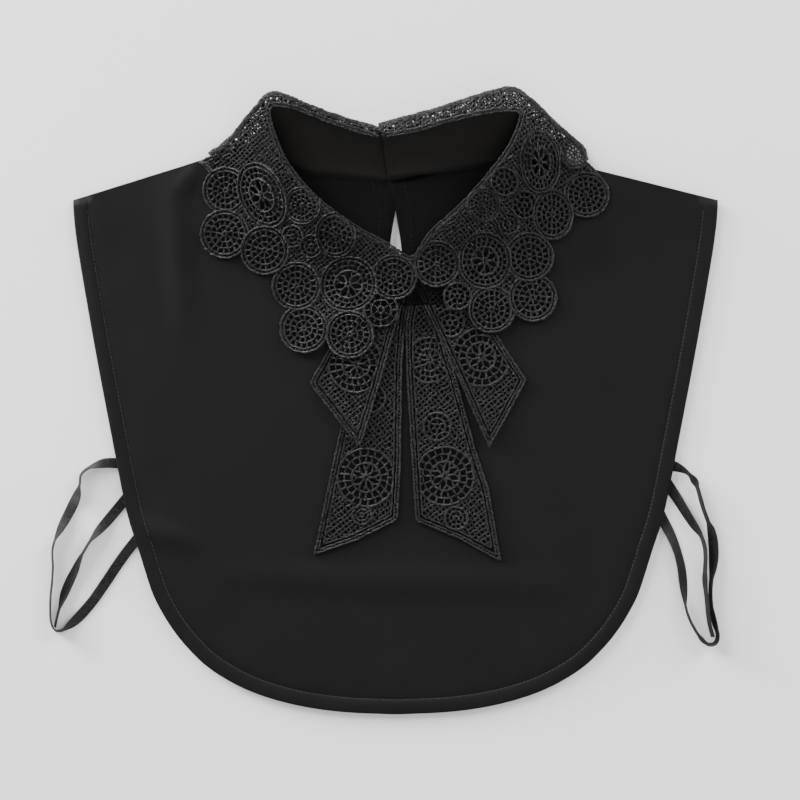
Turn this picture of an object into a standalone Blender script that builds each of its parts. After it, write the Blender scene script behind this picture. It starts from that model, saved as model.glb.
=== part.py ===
"""A black lace collar: a sleeveless false collar for wearing under a jumper, laid flat.

A front and a back bib panel lie on each other. A neck stand rises from their neckline and laps
at the centre back. Two lace leaves fold over the stand, four lace tails hang at the centre front,
and narrow elastics join front to back at each side.

Lengths in the tables are millimetres. +X is to the right, +Y is towards the neck, +Z is up from
the surface that the collar lies on, and the origin is in the middle of the panels, on that surface.
"""
import math
from collections import namedtuple

import bmesh
import bpy
from mathutils import Matrix, Vector
from mathutils.geometry import delaunay_2d_cdt

MM = 0.001

# Cloth, lace and elastic
CLOTH_WALL = 1.2
LACE_WALL = 1.0
ELASTIC_WIDTH = 6.0
ELASTIC_WALL = 0.8
SEAM_GAP = 0.7
LAYER_GAP = 0.5
PANEL_STEP = CLOTH_WALL + LAYER_GAP
LACE_ON_CLOTH = CLOTH_WALL / 2 + LAYER_GAP + LACE_WALL / 2
LACE_ON_LACE = LACE_WALL + LAYER_GAP
FLOOR_LACE = LACE_WALL / 2

# The panels' mesh, and the lift where the hidden half of the lace lies under them
PANEL_PITCH = 16.0
LACE_PITCH = 9.5
TAIL_PITCH = 11.0
KEEP_OFF = 0.5
HOLE_KEEP_OFF = 0.3
CREASE_KEEP_OFF = 0.6
BACK_INSET = 2.0
LIFT = LACE_WALL + LAYER_GAP
LIFT_CENTRE_Y = 142.0
LIFT_HALF_X = 122.0
LIFT_HALF_Y = 44.0
LIFT_FULL = 1.15
LIFT_NONE = 1.9

# Neck stand; its two ends lap at the centre back, and the neckline passes from one to the other
STAND_STEPS = 3
STAND_ROWS = 5
STAND_CURVE = 1.4
LAP_RAISE = 2.4
LAP_ROWS = 1
NECK_RIGHT_FROM = -2.0
NECK_LEFT_TO = -7.0

# Lace leaves: how they fall from the stand, and the fold along their top edge
LEAF_FALL = 30.0
LEAF_OVERHANG = 1.0
LEAF_SLACK = 0.3
LEAF_RISE = LAYER_GAP + LACE_WALL / 2 + CLOTH_WALL / 2 + LEAF_SLACK
FOLD_RADIUS = 2.4
FOLD_STEPS = 4
UNDER_FALL = 5.5
UNDER_ROWS = (0.33, 0.67, 1.1)
UNDER_EDGE_GAP = 2.0
UNDER_HOLE_GAP = 1.5
FOLD_PITCH = 8.0
SCALLOP_STEP = 0.5
SCALLOP_START = 3.0

# Rosettes: shares of the radius for the hub petals and the ring cells
PETALS = 6
CELLS = 14
PETAL_INNER = 0.13
PETAL_OUTER = 0.43
PETAL_SHOULDER = 0.31
CELL_INNER = 0.55
CELL_OUTER = 0.81
THREAD = 1.1

# The keyhole at the centre back
KEYHOLE_TOP = 111.0
KEYHOLE_BOTTOM = 70.0
KEYHOLE_HALF = 4.2
KEYHOLE_STEPS = 5
KEYHOLE_END_STEPS = 3
SLIT_HALF = 0.25
SLIT_TOP_X = -4.6
SLIT_TOP_Y = 127.9

BUTTON_RADIUS = 5.5
BUTTON_DEPTH = 2.2
BUTTON_EDGE = 0.5
BUTTON_SIDES = 20
BUTTON_X = 6.0
BUTTON_SHARE = 0.62
BUTTON_SPAN = 0.15
BUTTON_SHANK = 0.9

Edge = namedtuple("Edge", "half_width y")
StandRow = namedtuple("StandRow", "bottom_x bottom_y top_x top_y top_z raised")
Scallop = namedtuple("Scallop", "x y radius")
Rosette = namedtuple("Rosette", "x y half_x half_y turn")
Ridge = namedtuple("Ridge", "x0 y0 x1 y1 height half_width")
Strap = namedtuple("Strap", "x y roll")

# Half outline of the front panel, from the shoulder corner down the side and round to the hem
SIDE_EDGE = [
    Edge(187.0, 116.9),
    Edge(185.6, 99.5),
    Edge(182.1, 76.3),
    Edge(174.0, 29.9),
    Edge(165.2, -16.5),
    Edge(156.0, -62.9),
    Edge(148.8, -86.1),
    Edge(141.5, -109.3),
    Edge(136.0, -120.9),
    Edge(128.8, -132.5),
    Edge(119.2, -144.1),
    Edge(106.4, -155.7),
    Edge(85.6, -167.3),
    Edge(60.0, -175.4),
    Edge(32.0, -179.8),
    Edge(0.0, -181.3),
]

# The stand, from its inner end at the centre back, round the right, the front and the left,
# to its outer end, which passes under the inner one
STAND = [
    StandRow(-4.4, 129.2, -8.0, 153.6, 20.0, 1.0),
    StandRow(13.0, 131.6, 13.5, 157.4, 20.4, 1.0),
    StandRow(30.0, 133.8, 32.0, 163.0, 21.5, 0.0),
    StandRow(58.3, 138.3, 60.6, 168.5, 23.0, 0.0),
    StandRow(78.0, 144.7, 73.5, 165.5, 24.0, 0.0),
    StandRow(77.0, 126.0, 68.7, 148.8, 21.5, 0.0),
    StandRow(67.0, 108.0, 57.5, 132.5, 19.0, 0.0),
    StandRow(51.0, 86.0, 38.6, 111.5, 16.0, 0.0),
    StandRow(31.0, 68.0, 21.5, 96.0, 12.5, 0.0),
    StandRow(10.2, 56.0, 10.2, 81.5, 8.5, 0.0),
    StandRow(-14.8, 62.0, -6.1, 89.5, 11.0, 0.0),
    StandRow(-48.0, 80.0, -29.3, 102.6, 15.0, 0.0),
    StandRow(-68.0, 104.0, -50.5, 119.5, 18.0, 0.0),
    StandRow(-80.0, 132.0, -67.0, 141.8, 21.0, 0.0),
    StandRow(-78.0, 151.7, -74.0, 168.0, 24.0, 0.0),
    StandRow(-55.4, 134.3, -60.5, 170.5, 23.0, 0.0),
    StandRow(-29.3, 130.8, -34.0, 161.0, 21.0, 0.0),
    StandRow(-5.5, 128.6, -9.2, 154.4, 20.0, 0.0),
    StandRow(11.0, 131.2, 11.5, 158.4, 20.2, 0.0),
]
RIGHT_NECK_CORNER = (82.8, 142.7)
LEFT_NECK_CORNER = (-84.5, 148.6)
RIGHT_SHOULDER_ROW = 4
FRONT_ROW = 9
LEFT_SHOULDER_ROW = 14
BACK_ROW = 17

# Top edge of each folded leaf, from the centre back to the outer end of the shoulder
LEFT_FOLD = [
    (-9.4, 158.0), (-26.4, 162.7), (-49.6, 170.8), (-62.0, 176.2), (-72.8, 177.4),
    (-84.4, 165.6), (-96.0, 154.0), (-108.6, 144.4),
]
RIGHT_FOLD = [
    (-3.0, 161.8), (20.0, 167.9), (43.2, 175.5), (66.4, 181.3), (78.0, 174.3),
    (89.6, 164.4), (101.2, 155.7), (109.9, 147.6), (112.2, 140.5),
]

# Outer scallops of each leaf from the shoulder to the centre front, then of its hidden half
# from the shoulder to the centre back
LEFT_FRONT_SCALLOPS = [
    Scallop(-100.6, 126.7, 12.8),
    Scallop(-100.1, 97.7, 14.5),
    Scallop(-77.4, 90.8, 13.9),
    Scallop(-57.1, 68.7, 15.7),
    Scallop(-53.6, 44.4, 15.7),
    Scallop(-26.4, 40.3, 13.3),
    Scallop(-7.8, 51.9, 8.7),
    Scallop(-2.6, 73.2, 14.8),
]
RIGHT_FRONT_SCALLOPS = [
    Scallop(109.9, 122.7, 13.3),
    Scallop(90.8, 107.6, 12.3),
    Scallop(76.3, 83.8, 13.9),
    Scallop(82.1, 58.9, 13.9),
    Scallop(56.0, 53.1, 15.1),
    Scallop(36.3, 61.2, 8.4),
    Scallop(25.4, 80.9, 13.0),
]
LEFT_UNDER_SCALLOPS = [
    Scallop(-100.0, 125.5, 13.0),
    Scallop(-77.0, 119.0, 13.5),
    Scallop(-52.0, 124.0, 14.0),
    Scallop(-27.0, 122.0, 13.0),
    Scallop(-18.5, 144.5, 12.0),
]
RIGHT_UNDER_SCALLOPS = [
    Scallop(99.0, 123.5, 13.0),
    Scallop(77.0, 118.0, 13.5),
    Scallop(52.0, 126.0, 14.0),
    Scallop(27.0, 124.0, 13.0),
    Scallop(9.5, 147.0, 12.0),
]

LEFT_LEAF_CORNER = (-113.4, 138.8)
RIGHT_LEAF_CORNER = (114.0, 135.6)

# Open-work rosettes whose gaps are cut through
LEFT_FRONT_ROSETTES = [
    Rosette(-26.4, 70.5, 16.6, 16.6, 12.0),
    Rosette(-77.4, 121.5, 15.0, 19.0, -8.0),
]
RIGHT_FRONT_ROSETTES = [
    Rosette(50.8, 83.2, 16.4, 16.4, 5.0),
    Rosette(82.0, 138.3, 12.4, 18.8, 4.0),
]
LEFT_UNDER_ROSETTES = [Rosette(-49.0, 150.5, 14.0, 14.0, 0.0)]
RIGHT_UNDER_ROSETTES = [Rosette(47.0, 152.5, 14.0, 14.0, 0.0)]

# Bow tails, each from its root at the centre front
LONG_LEFT_TAIL = [
    (5.0, 57.0), (8.6, 57.0), (5.5, 43.2), (4.0, 20.0), (3.4, -33.0), (1.6, -68.7),
    (-22.0, -80.5), (-47.9, -89.6), (-39.2, -47.9), (-31.0, -10.0), (-14.0, 35.0),
]
LONG_RIGHT_TAIL = [
    (9.4, 57.0), (13.0, 57.0), (26.0, 44.0), (36.0, 12.0), (46.7, -27.5), (54.2, -50.2), (61.8, -93.7),
    (37.0, -80.0), (11.3, -69.3), (7.8, -11.3), (5.9, 21.2), (5.6, 43.2),
]
SHORT_LEFT_TAIL = [
    (7.5, 60.5), (0.0, 43.2), (-9.0, 10.2), (-20.6, -27.5), (-50.2, 10.7), (-38.6, 31.0), (-22.0, 53.0),
]
SHORT_RIGHT_TAIL = [
    (11.5, 60.5), (36.8, 11.9), (54.2, -27.5), (76.3, 12.5), (60.0, 37.4), (37.0, 62.0),
]
SHORT_LEFT_ROSETTE = Rosette(-25.2, 21.2, 15.0, 15.5, 8.0)
SHORT_RIGHT_ROSETTE = Rosette(49.0, 25.2, 15.5, 16.5, 15.0)
LONG_LEFT_ROSETTE = Rosette(-17.7, -44.4, 16.5, 16.8, 0.0)
LONG_RIGHT_ROSETTES = [
    Rosette(21.8, 25.5, 14.0, 14.5, 0.0),
    Rosette(28.7, -44.4, 17.0, 17.0, 10.0),
]
TAIL_COVER_MARGIN = 9.0
TAIL_COVER_FALL = 14.0
ROOT_RISE = 1.6
ROOT_LOW_Y = 42.0
ROOT_HIGH_Y = 54.0
ROOT_X = 10.0
ROOT_NEAR = 22.0
ROOT_FAR = 44.0

# Soft creases of the front panel
RIDGE_END = 0.15
RIDGES = [
    Ridge(-130.0, 124.0, -123.0, 44.0, 2.2, 12.0),
    Ridge(-96.0, -101.0, 92.0, -107.0, 1.6, 12.0),
    Ridge(-145.0, -72.0, -118.0, -83.0, 1.4, 9.0),
    Ridge(136.0, 92.0, 118.0, 16.0, 1.6, 12.0),
]

# Elastics, from hem to hem or from hem to the loop's tip; roll 0 lies flat and 90 stands on edge
LEFT_LOOP = [
    Strap(-163.3, -35.7, 8.0), Strap(-168.5, -35.7, 22.0), Strap(-173.6, -36.8, 50.0),
    Strap(-178.6, -38.8, 80.0), Strap(-182.6, -42.6, 90.0), Strap(-183.3, -48.0, 78.0),
    Strap(-184.9, -54.0, 35.0), Strap(-187.6, -60.3, 8.0), Strap(-191.1, -67.3, 18.0),
    Strap(-194.6, -74.0, 42.0), Strap(-197.8, -80.6, 76.0), Strap(-199.2, -87.3, 90.0),
    Strap(-198.9, -95.4, 90.0), Strap(-199.3, -103.9, 90.0), Strap(-200.2, -112.8, 88.0),
    Strap(-200.4, -121.5, 84.0), Strap(-199.9, -128.3, 84.0), Strap(-197.6, -132.8, 88.0),
    Strap(-193.6, -132.8, 84.0), Strap(-188.8, -129.7, 44.0), Strap(-183.0, -124.2, 10.0),
    Strap(-176.0, -116.0, 0.0), Strap(-168.5, -105.3, 0.0), Strap(-161.5, -94.8, 4.0),
    Strap(-155.6, -86.6, 4.0), Strap(-151.4, -81.2, 0.0),
]
LEFT_INNER = [
    Strap(-158.1, -58.1, 0.0), Strap(-162.7, -63.7, 0.0), Strap(-167.9, -69.9, 12.0),
    Strap(-173.1, -75.8, 42.0), Strap(-177.2, -80.9, 74.0), Strap(-180.1, -85.6, 84.0),
    Strap(-183.0, -90.8, 62.0), Strap(-186.0, -97.7, 38.0), Strap(-189.4, -104.7, 26.0),
    Strap(-192.3, -111.7, 34.0), Strap(-194.3, -117.5, 60.0), Strap(-195.8, -122.6, 86.0),
    Strap(-196.9, -127.2, 90.0), Strap(-197.7, -130.9, 90.0),
]
RIGHT_LOOP = [
    Strap(161.6, -37.5, 8.0), Strap(166.0, -39.3, 46.0), Strap(170.4, -42.2, 74.0),
    Strap(173.6, -46.2, 50.0), Strap(175.5, -50.9, 80.0), Strap(177.2, -57.1, 72.0),
    Strap(178.9, -62.9, 76.0), Strap(181.0, -68.6, 80.0), Strap(183.2, -74.6, 46.0),
    Strap(184.5, -81.5, 24.0), Strap(184.9, -88.5, 26.0), Strap(184.4, -95.4, 44.0),
    Strap(183.4, -102.4, 72.0), Strap(182.8, -109.3, 86.0), Strap(183.0, -116.3, 84.0),
    Strap(184.0, -123.3, 66.0), Strap(185.6, -130.2, 66.0), Strap(187.0, -135.8, 84.0),
    Strap(185.6, -140.2, 90.0), Strap(181.8, -141.0, 84.0), Strap(178.0, -138.3, 64.0),
    Strap(174.4, -133.3, 82.0), Strap(170.9, -126.7, 88.0), Strap(168.6, -119.8, 80.0),
    Strap(167.8, -112.6, 50.0), Strap(167.0, -104.6, 30.0), Strap(166.0, -96.4, 30.0),
    Strap(163.7, -87.3, 34.0), Strap(160.2, -78.2, 20.0), Strap(156.3, -70.3, 4.0),
]
RIGHT_INNER = [
    Strap(160.2, -50.9, 4.0), Strap(164.4, -57.5, 20.0), Strap(169.1, -65.3, 32.0),
    Strap(173.6, -72.4, 46.0), Strap(177.2, -77.8, 72.0), Strap(179.2, -83.4, 88.0),
    Strap(179.9, -89.6, 88.0), Strap(179.7, -96.0, 80.0), Strap(179.5, -102.4, 66.0),
    Strap(179.9, -109.0, 72.0), Strap(180.7, -116.0, 88.0), Strap(181.3, -123.0, 90.0),
    Strap(182.4, -130.0, 90.0), Strap(184.2, -136.6, 90.0),
]
STRAP_STEP = 6.0
CURVE_STEPS = 6
STRAP_FLOAT = 0.1

BLACK_CLOTH = (0.016, 0.0155, 0.0165, 1.0)
BLACK_LACE = (0.018, 0.018, 0.019, 1.0)
BLACK_ELASTIC = (0.03, 0.029, 0.029, 1.0)
BLACK_HORN = (0.01, 0.01, 0.011, 1.0)


def smooth(share):
    """0 to 1 with level ends."""
    share = min(1.0, max(0.0, share))
    return share * share * (3.0 - 2.0 * share)


def fall(share):
    """1 at 0, level at both ends, and 0 from 1 on."""
    return math.cos(math.pi / 2 * min(1.0, max(0.0, share))) ** 2


def through(points, steps):
    """A smooth curve through the points, with so many steps between neighbours."""
    points = [Vector(p) for p in points]
    ends = [2 * points[0] - points[1]] + points + [2 * points[-1] - points[-2]]
    curve = []
    for a, b, c, d in zip(ends, ends[1:], ends[2:], ends[3:]):
        for step in range(steps):
            t = step / steps
            curve.append(0.5 * (2 * b + (c - a) * t + (2 * a - 5 * b + 4 * c - d) * t * t
                                + (3 * b - a - 3 * c + d) * t ** 3))
    curve.append(points[-1])
    return curve


def even(path, pitch):
    """The path's points again, about one pitch apart."""
    lengths = [0.0]
    for a, b in zip(path, path[1:]):
        lengths.append(lengths[-1] + (b - a).length)
    count = max(1, round(lengths[-1] / pitch))
    result = []
    at = 0
    for k in range(count + 1):
        want = lengths[-1] * k / count
        while at < len(path) - 2 and lengths[at + 1] < want:
            at += 1
        span = lengths[at + 1] - lengths[at]
        result.append(path[at].lerp(path[at + 1], (want - lengths[at]) / span if span else 0.0))
    return result


def nearest(x, y, path):
    """Distance in plan to a path, and the path's own point there."""
    spot = Vector((x, y))
    best = None
    for a, b in zip(path, path[1:]):
        run = b.xy - a.xy
        share = 0.0
        if run.length_squared > 0:
            share = min(1.0, max(0.0, (spot - a.xy).dot(run) / run.length_squared))
        point = a.lerp(b, share)
        gap = (point.xy - spot).length
        if best is None or gap < best[0]:
            best = (gap, point)
    return best


def inside(x, y, outline):
    """Whether a point lies in a closed outline."""
    within = False
    for (x0, y0), (x1, y1) in zip(outline, outline[1:] + outline[:1]):
        if (y0 > y) != (y1 > y) and x < x0 + (y - y0) / (y1 - y0) * (x1 - x0):
            within = not within
    return within


def closed(outline):
    """The outline's points, with the first again at the end."""
    points = [Vector(p) for p in outline]
    return points + points[:1]


def cover(x, y, outline):
    """1 over a piece and its margin, falling to 0 further out."""
    if inside(x, y, outline):
        return 1.0
    gap = nearest(x, y, closed(outline))[0]
    return 1.0 - smooth((gap - TAIL_COVER_MARGIN) / TAIL_COVER_FALL)


# The stand's two edges, as curves in space

def stand_curve(part):
    """A smooth curve through one edge of the stand, with the raise as a fourth value."""
    if part == "bottom":
        rows = [(r.bottom_x, r.bottom_y, 0.0, r.raised) for r in STAND]
    else:
        rows = [(r.top_x, r.top_y, r.top_z, r.raised) for r in STAND]
    return through(rows, STAND_STEPS)


STAND_BOTTOM = stand_curve("bottom")
STAND_TOP = stand_curve("top")
RIGHT_SHOULDER_AT = RIGHT_SHOULDER_ROW * STAND_STEPS
FRONT_AT = FRONT_ROW * STAND_STEPS
LEFT_SHOULDER_AT = LEFT_SHOULDER_ROW * STAND_STEPS
BACK_AT = BACK_ROW * STAND_STEPS
TOP_LOOP = [Vector((p[0], p[1], p[2] + LAP_RAISE * p[3])) for p in STAND_TOP[:BACK_AT + 1]]


# Heights of the layers

def lift(x, y):
    """How far the lace under the panels lifts them."""
    reach = math.hypot(x / LIFT_HALF_X, (y - LIFT_CENTRE_Y) / LIFT_HALF_Y)
    return LIFT * (1.0 - smooth((reach - LIFT_FULL) / (LIFT_NONE - LIFT_FULL)))


def back_height(x, y):
    return CLOTH_WALL / 2 + lift(x, y)


def crease(x, y):
    """The front panel's soft ridges."""
    height = 0.0
    for ridge in RIDGES:
        gap, point = nearest(x, y, [Vector((ridge.x0, ridge.y0)), Vector((ridge.x1, ridge.y1))])
        along = (point - Vector((ridge.x0, ridge.y0))).length
        length = math.hypot(ridge.x1 - ridge.x0, ridge.y1 - ridge.y0)
        swell = math.sin(math.pi * (RIDGE_END + (1.0 - 2.0 * RIDGE_END) * along / length))
        height = max(height, ridge.height * swell * fall(gap / ridge.half_width))
    return height


def front_height(x, y):
    return back_height(x, y) + PANEL_STEP + crease(x, y)


def root_rise(x, y):
    """The tails' roots lie over the stand's foot at the centre front."""
    near = 1.0 - smooth((abs(x - ROOT_X) - ROOT_NEAR) / (ROOT_FAR - ROOT_NEAR))
    return ROOT_RISE * near * smooth((y - ROOT_LOW_Y) / (ROOT_HIGH_Y - ROOT_LOW_Y))


def long_tail_height(x, y):
    return front_height(x, y) + LACE_ON_CLOTH + root_rise(x, y)


def short_tail_height(x, y):
    over = max(cover(x, y, LONG_LEFT_TAIL), cover(x, y, LONG_RIGHT_TAIL))
    return long_tail_height(x, y) + LACE_ON_LACE * over


def leaf_lie(x, y):
    """The height of a leaf where it lies on the front panel and on the tails."""
    over_long = max(cover(x, y, LONG_LEFT_TAIL), cover(x, y, LONG_RIGHT_TAIL))
    over_short = max(cover(x, y, SHORT_LEFT_TAIL), cover(x, y, SHORT_RIGHT_TAIL))
    return long_tail_height(x, y) + LACE_ON_LACE * (over_long + over_short)


def leaf_height(x, y):
    """A leaf's visible side, from the stand's top edge down to the panel."""
    gap, edge = nearest(x, y, TOP_LOOP)
    lie = leaf_lie(x, y)
    start = edge.z + LEAF_RISE
    return lie + (start - lie) * fall(gap / LEAF_FALL)


# Flat pieces of cloth

def grid(outline, holes, pitch):
    """Points of a staggered grid inside an outline and clear of its holes."""
    path = closed(outline)
    hole_paths = [closed(hole) for hole in holes]
    xs = [p[0] for p in outline]
    ys = [p[1] for p in outline]
    points = []
    row_pitch = pitch * math.sqrt(3) / 2
    for j in range(math.floor(min(ys) / row_pitch), math.ceil(max(ys) / row_pitch) + 1):
        for i in range(math.floor(min(xs) / pitch) - 1, math.ceil(max(xs) / pitch) + 1):
            x = (i + 0.5 * (j % 2)) * pitch
            y = j * row_pitch
            if not inside(x, y, outline) or nearest(x, y, path)[0] < pitch * KEEP_OFF:
                continue
            if any(inside(x, y, hole) for hole in holes):
                continue
            if any(nearest(x, y, hole)[0] < pitch * HOLE_KEEP_OFF for hole in hole_paths):
                continue
            points.append((x, y))
    return points


def anticlockwise(outline):
    """An outline's points, turning to the left."""
    area = sum(a[0] * b[1] - b[0] * a[1] for a, b in zip(outline, outline[1:] + outline[:1]))
    return list(outline) if area > 0 else list(outline[::-1])


def triangles(outline, holes, inner):
    """Points and triangles of a flat sheet with its holes left out."""
    points = []
    faces = []
    for loop in [outline] + holes:
        faces.append(list(range(len(points), len(points) + len(loop))))
        points += anticlockwise(loop)
    points += inner
    flat = [Vector((p[0], p[1])) for p in points]
    found, _, tris, _, _, owners = delaunay_2d_cdt(flat, [], faces, 1, 1e-4, True)
    kept = [tri for tri, owner in zip(tris, owners) if owner == [0]]
    return [(p.x, p.y) for p in found], kept


def add_sheet(bm, sheet, height, upward=True):
    """A flat sheet's triangles, each point at the height that the function gives."""
    points, tris = sheet
    used = sorted({index for tri in tris for index in tri})
    verts = {k: bm.verts.new((points[k][0], points[k][1], height(*points[k]))) for k in used}
    for tri in tris:
        corner = [verts[k] for k in tri]
        bm.faces.new(corner if upward else corner[::-1])


def finish_cloth(name, bm, wall, material):
    """Weld a sheet in millimetres, scale it to metres and give it its wall."""
    bmesh.ops.remove_doubles(bm, verts=bm.verts, dist=0.01)
    bmesh.ops.scale(bm, vec=(MM, MM, MM), verts=bm.verts)
    mesh = bpy.data.meshes.new(name)
    bm.to_mesh(mesh)
    bm.free()
    obj = place(name, mesh, material)
    wall_modifier = obj.modifiers.new("wall", "SOLIDIFY")
    wall_modifier.thickness = wall * MM
    wall_modifier.offset = 0.0
    return obj


def place(name, mesh, material):
    """A mesh as a named piece of the collar."""
    obj = bpy.data.objects.new(name, mesh)
    COLLAR.objects.link(obj)
    obj.parent = ROOT
    mesh.materials.append(material)
    return obj


def material(name, colour, roughness):
    mat = bpy.data.materials.new(name)
    mat.use_nodes = True
    shader = mat.node_tree.nodes["Principled BSDF"]
    shader.inputs["Base Color"].default_value = colour
    shader.inputs["Roughness"].default_value = roughness
    shader.inputs["Metallic"].default_value = 0.0
    return mat


# Panels

def offset_path(path, gap):
    """A path moved to its left by a gap."""
    moved = []
    for k, point in enumerate(path):
        before = path[max(0, k - 1)]
        after = path[min(len(path) - 1, k + 1)]
        run = (after.xy - before.xy).normalized()
        moved.append(Vector((point.x - run.y * gap, point.y + run.x * gap)))
    return moved


def side_path(inset):
    """The panel's edge from the right shoulder corner, round the hem, to the left one."""
    right = through([(e.half_width, e.y) for e in SIDE_EDGE], 3)
    left = [Vector((-p.x, p.y)) for p in reversed(right[:-1])]
    path = even(right + left, PANEL_PITCH)
    return [(p.x, p.y) for p in offset_path(path, -inset)]


def crease_points():
    """Points along each ridge's crest and foot, so that the mesh follows it."""
    points = []
    for ridge in RIDGES:
        crest = even([Vector((ridge.x0, ridge.y0)), Vector((ridge.x1, ridge.y1))], PANEL_PITCH)
        for foot in (-ridge.half_width, 0.0, ridge.half_width):
            points += [(p.x, p.y) for p in offset_path(crest, foot)]
    return points


def panel_outline(neck, inset):
    """A panel's whole outline, from its neckline (left corner to right) round the hem."""
    side = side_path(inset)
    right = even([Vector(neck[-1]), Vector(side[0])], PANEL_PITCH)[1:-1]
    left = even([Vector(side[-1]), Vector(neck[0])], PANEL_PITCH)[1:-1]
    return neck + [(p.x, p.y) for p in right] + side + [(p.x, p.y) for p in left]


def make_front_panel():
    neck = offset_path(STAND_BOTTOM[RIGHT_SHOULDER_AT:LEFT_SHOULDER_AT + 1], SEAM_GAP)[1:-1]
    neck_points = [LEFT_NECK_CORNER] + [(p.x, p.y) for p in reversed(neck)] + [RIGHT_NECK_CORNER]
    outline = panel_outline(neck_points, 0.0)
    creased = [p for p in crease_points()
               if nearest(*p, closed(outline))[0] > PANEL_PITCH * HOLE_KEEP_OFF]
    inner = [p for p in grid(outline, [], PANEL_PITCH)
             if all(math.dist(p, c) > PANEL_PITCH * CREASE_KEEP_OFF for c in creased)]
    bm = bmesh.new()
    add_sheet(bm, triangles(outline, [], inner + creased), front_height)
    return finish_cloth("front_panel", bm, CLOTH_WALL, CLOTH)


def keyhole_side(side):
    """One edge of the slit and keyhole, from the neckline down to the bottom."""
    edge = [(SLIT_TOP_X + side * SLIT_HALF, SLIT_TOP_Y), (side * SLIT_HALF, KEYHOLE_TOP)]
    length = KEYHOLE_TOP - KEYHOLE_BOTTOM - KEYHOLE_HALF
    for k in range(1, KEYHOLE_STEPS + 1):
        share = math.sin(math.pi / 2 * k / KEYHOLE_STEPS)
        edge.append((side * (SLIT_HALF + (KEYHOLE_HALF - SLIT_HALF) * share),
                     KEYHOLE_TOP - length * k / KEYHOLE_STEPS))
    for k in range(1, KEYHOLE_END_STEPS):
        turn = math.pi / 2 * k / KEYHOLE_END_STEPS
        edge.append((side * KEYHOLE_HALF * math.cos(turn),
                     KEYHOLE_BOTTOM + KEYHOLE_HALF * (1 - math.sin(turn))))
    return edge


def make_back_panel():
    lapped = STAND_BOTTOM[BACK_AT:-1] + STAND_BOTTOM[LAP_ROWS * STAND_STEPS:RIGHT_SHOULDER_AT + 1]
    right_neck = offset_path(lapped, -SEAM_GAP)
    left_neck = offset_path(STAND_BOTTOM[LEFT_SHOULDER_AT:BACK_AT + 1], -SEAM_GAP)
    right = [(p.x, p.y) for p in right_neck[:-1] if p.x > NECK_RIGHT_FROM] + [RIGHT_NECK_CORNER]
    left = [LEFT_NECK_CORNER] + [(p.x, p.y) for p in left_neck[1:] if p.x < NECK_LEFT_TO]
    slit = keyhole_side(-1) + [(0.0, KEYHOLE_BOTTOM)] + keyhole_side(1)[::-1]
    outline = panel_outline(left + slit + right, BACK_INSET)
    inner = grid(outline, [], PANEL_PITCH)
    bm = bmesh.new()
    add_sheet(bm, triangles(outline, [], inner), back_height)
    return finish_cloth("back_panel", bm, CLOTH_WALL, CLOTH)


# Neck stand

def stand_foot(index, x, y):
    """The height of the stand's foot: on the front neckline, on the back one, or between."""
    span = STAND_STEPS
    to_front = min(smooth((index - RIGHT_SHOULDER_AT + span) / (2 * span)),
                   smooth((LEFT_SHOULDER_AT + span - index) / (2 * span)))
    return back_height(x, y) + PANEL_STEP * to_front


def stand_point(index, share):
    """A point of the stand at a share of its height."""
    bottom = STAND_BOTTOM[index]
    top = STAND_TOP[index]
    foot = stand_foot(index, bottom.x, bottom.y)
    plan = bottom.xy.lerp(top.xy, share)
    rise = (top.z - foot) * share ** STAND_CURVE
    return Vector((plan.x, plan.y, foot + rise + LAP_RAISE * bottom[3]))


def make_neck_stand():
    bm = bmesh.new()
    rows = []
    for index in range(len(STAND_BOTTOM)):
        rows.append([bm.verts.new(stand_point(index, k / STAND_ROWS)) for k in range(STAND_ROWS + 1)])
    for one, two in zip(rows, rows[1:]):
        for k in range(STAND_ROWS):
            bm.faces.new((one[k], two[k], two[k + 1], one[k + 1]))
    return finish_cloth("neck_stand", bm, CLOTH_WALL, CLOTH)


def make_button():
    """The button lies on the stand's outer side, under the lapped ends."""
    index = min(range(BACK_AT, len(STAND_BOTTOM)), key=lambda k: abs(STAND_BOTTOM[k].x - BUTTON_X))
    low = stand_point(index, BUTTON_SHARE - BUTTON_SPAN)
    high = stand_point(index, BUTTON_SHARE + BUTTON_SPAN)
    slope = math.atan2(high.z - low.z, high.y - low.y)
    out = Vector((0.0, math.sin(slope), -math.cos(slope)))
    seat = stand_point(index, BUTTON_SHARE)
    reach = CLOTH_WALL / 2 + BUTTON_SHANK + BUTTON_DEPTH / 2
    centre = Vector((BUTTON_X, seat.y, seat.z)) + out * reach
    bpy.ops.mesh.primitive_cylinder_add(vertices=BUTTON_SIDES, radius=BUTTON_RADIUS * MM,
                                        depth=BUTTON_DEPTH * MM)
    button = bpy.context.active_object
    button.name = "back_button"
    button.data.name = "back_button"
    for owner in list(button.users_collection):
        owner.objects.unlink(button)
    COLLAR.objects.link(button)
    button.parent = ROOT
    button.location = centre * MM
    button.rotation_euler = Matrix.Rotation(slope, 3, "X").to_euler()
    button.data.materials.append(HORN)
    edge = button.modifiers.new("edge", "BEVEL")
    edge.width = BUTTON_EDGE * MM
    edge.segments = 1
    edge.limit_method = "ANGLE"
    return button


# Lace

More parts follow.
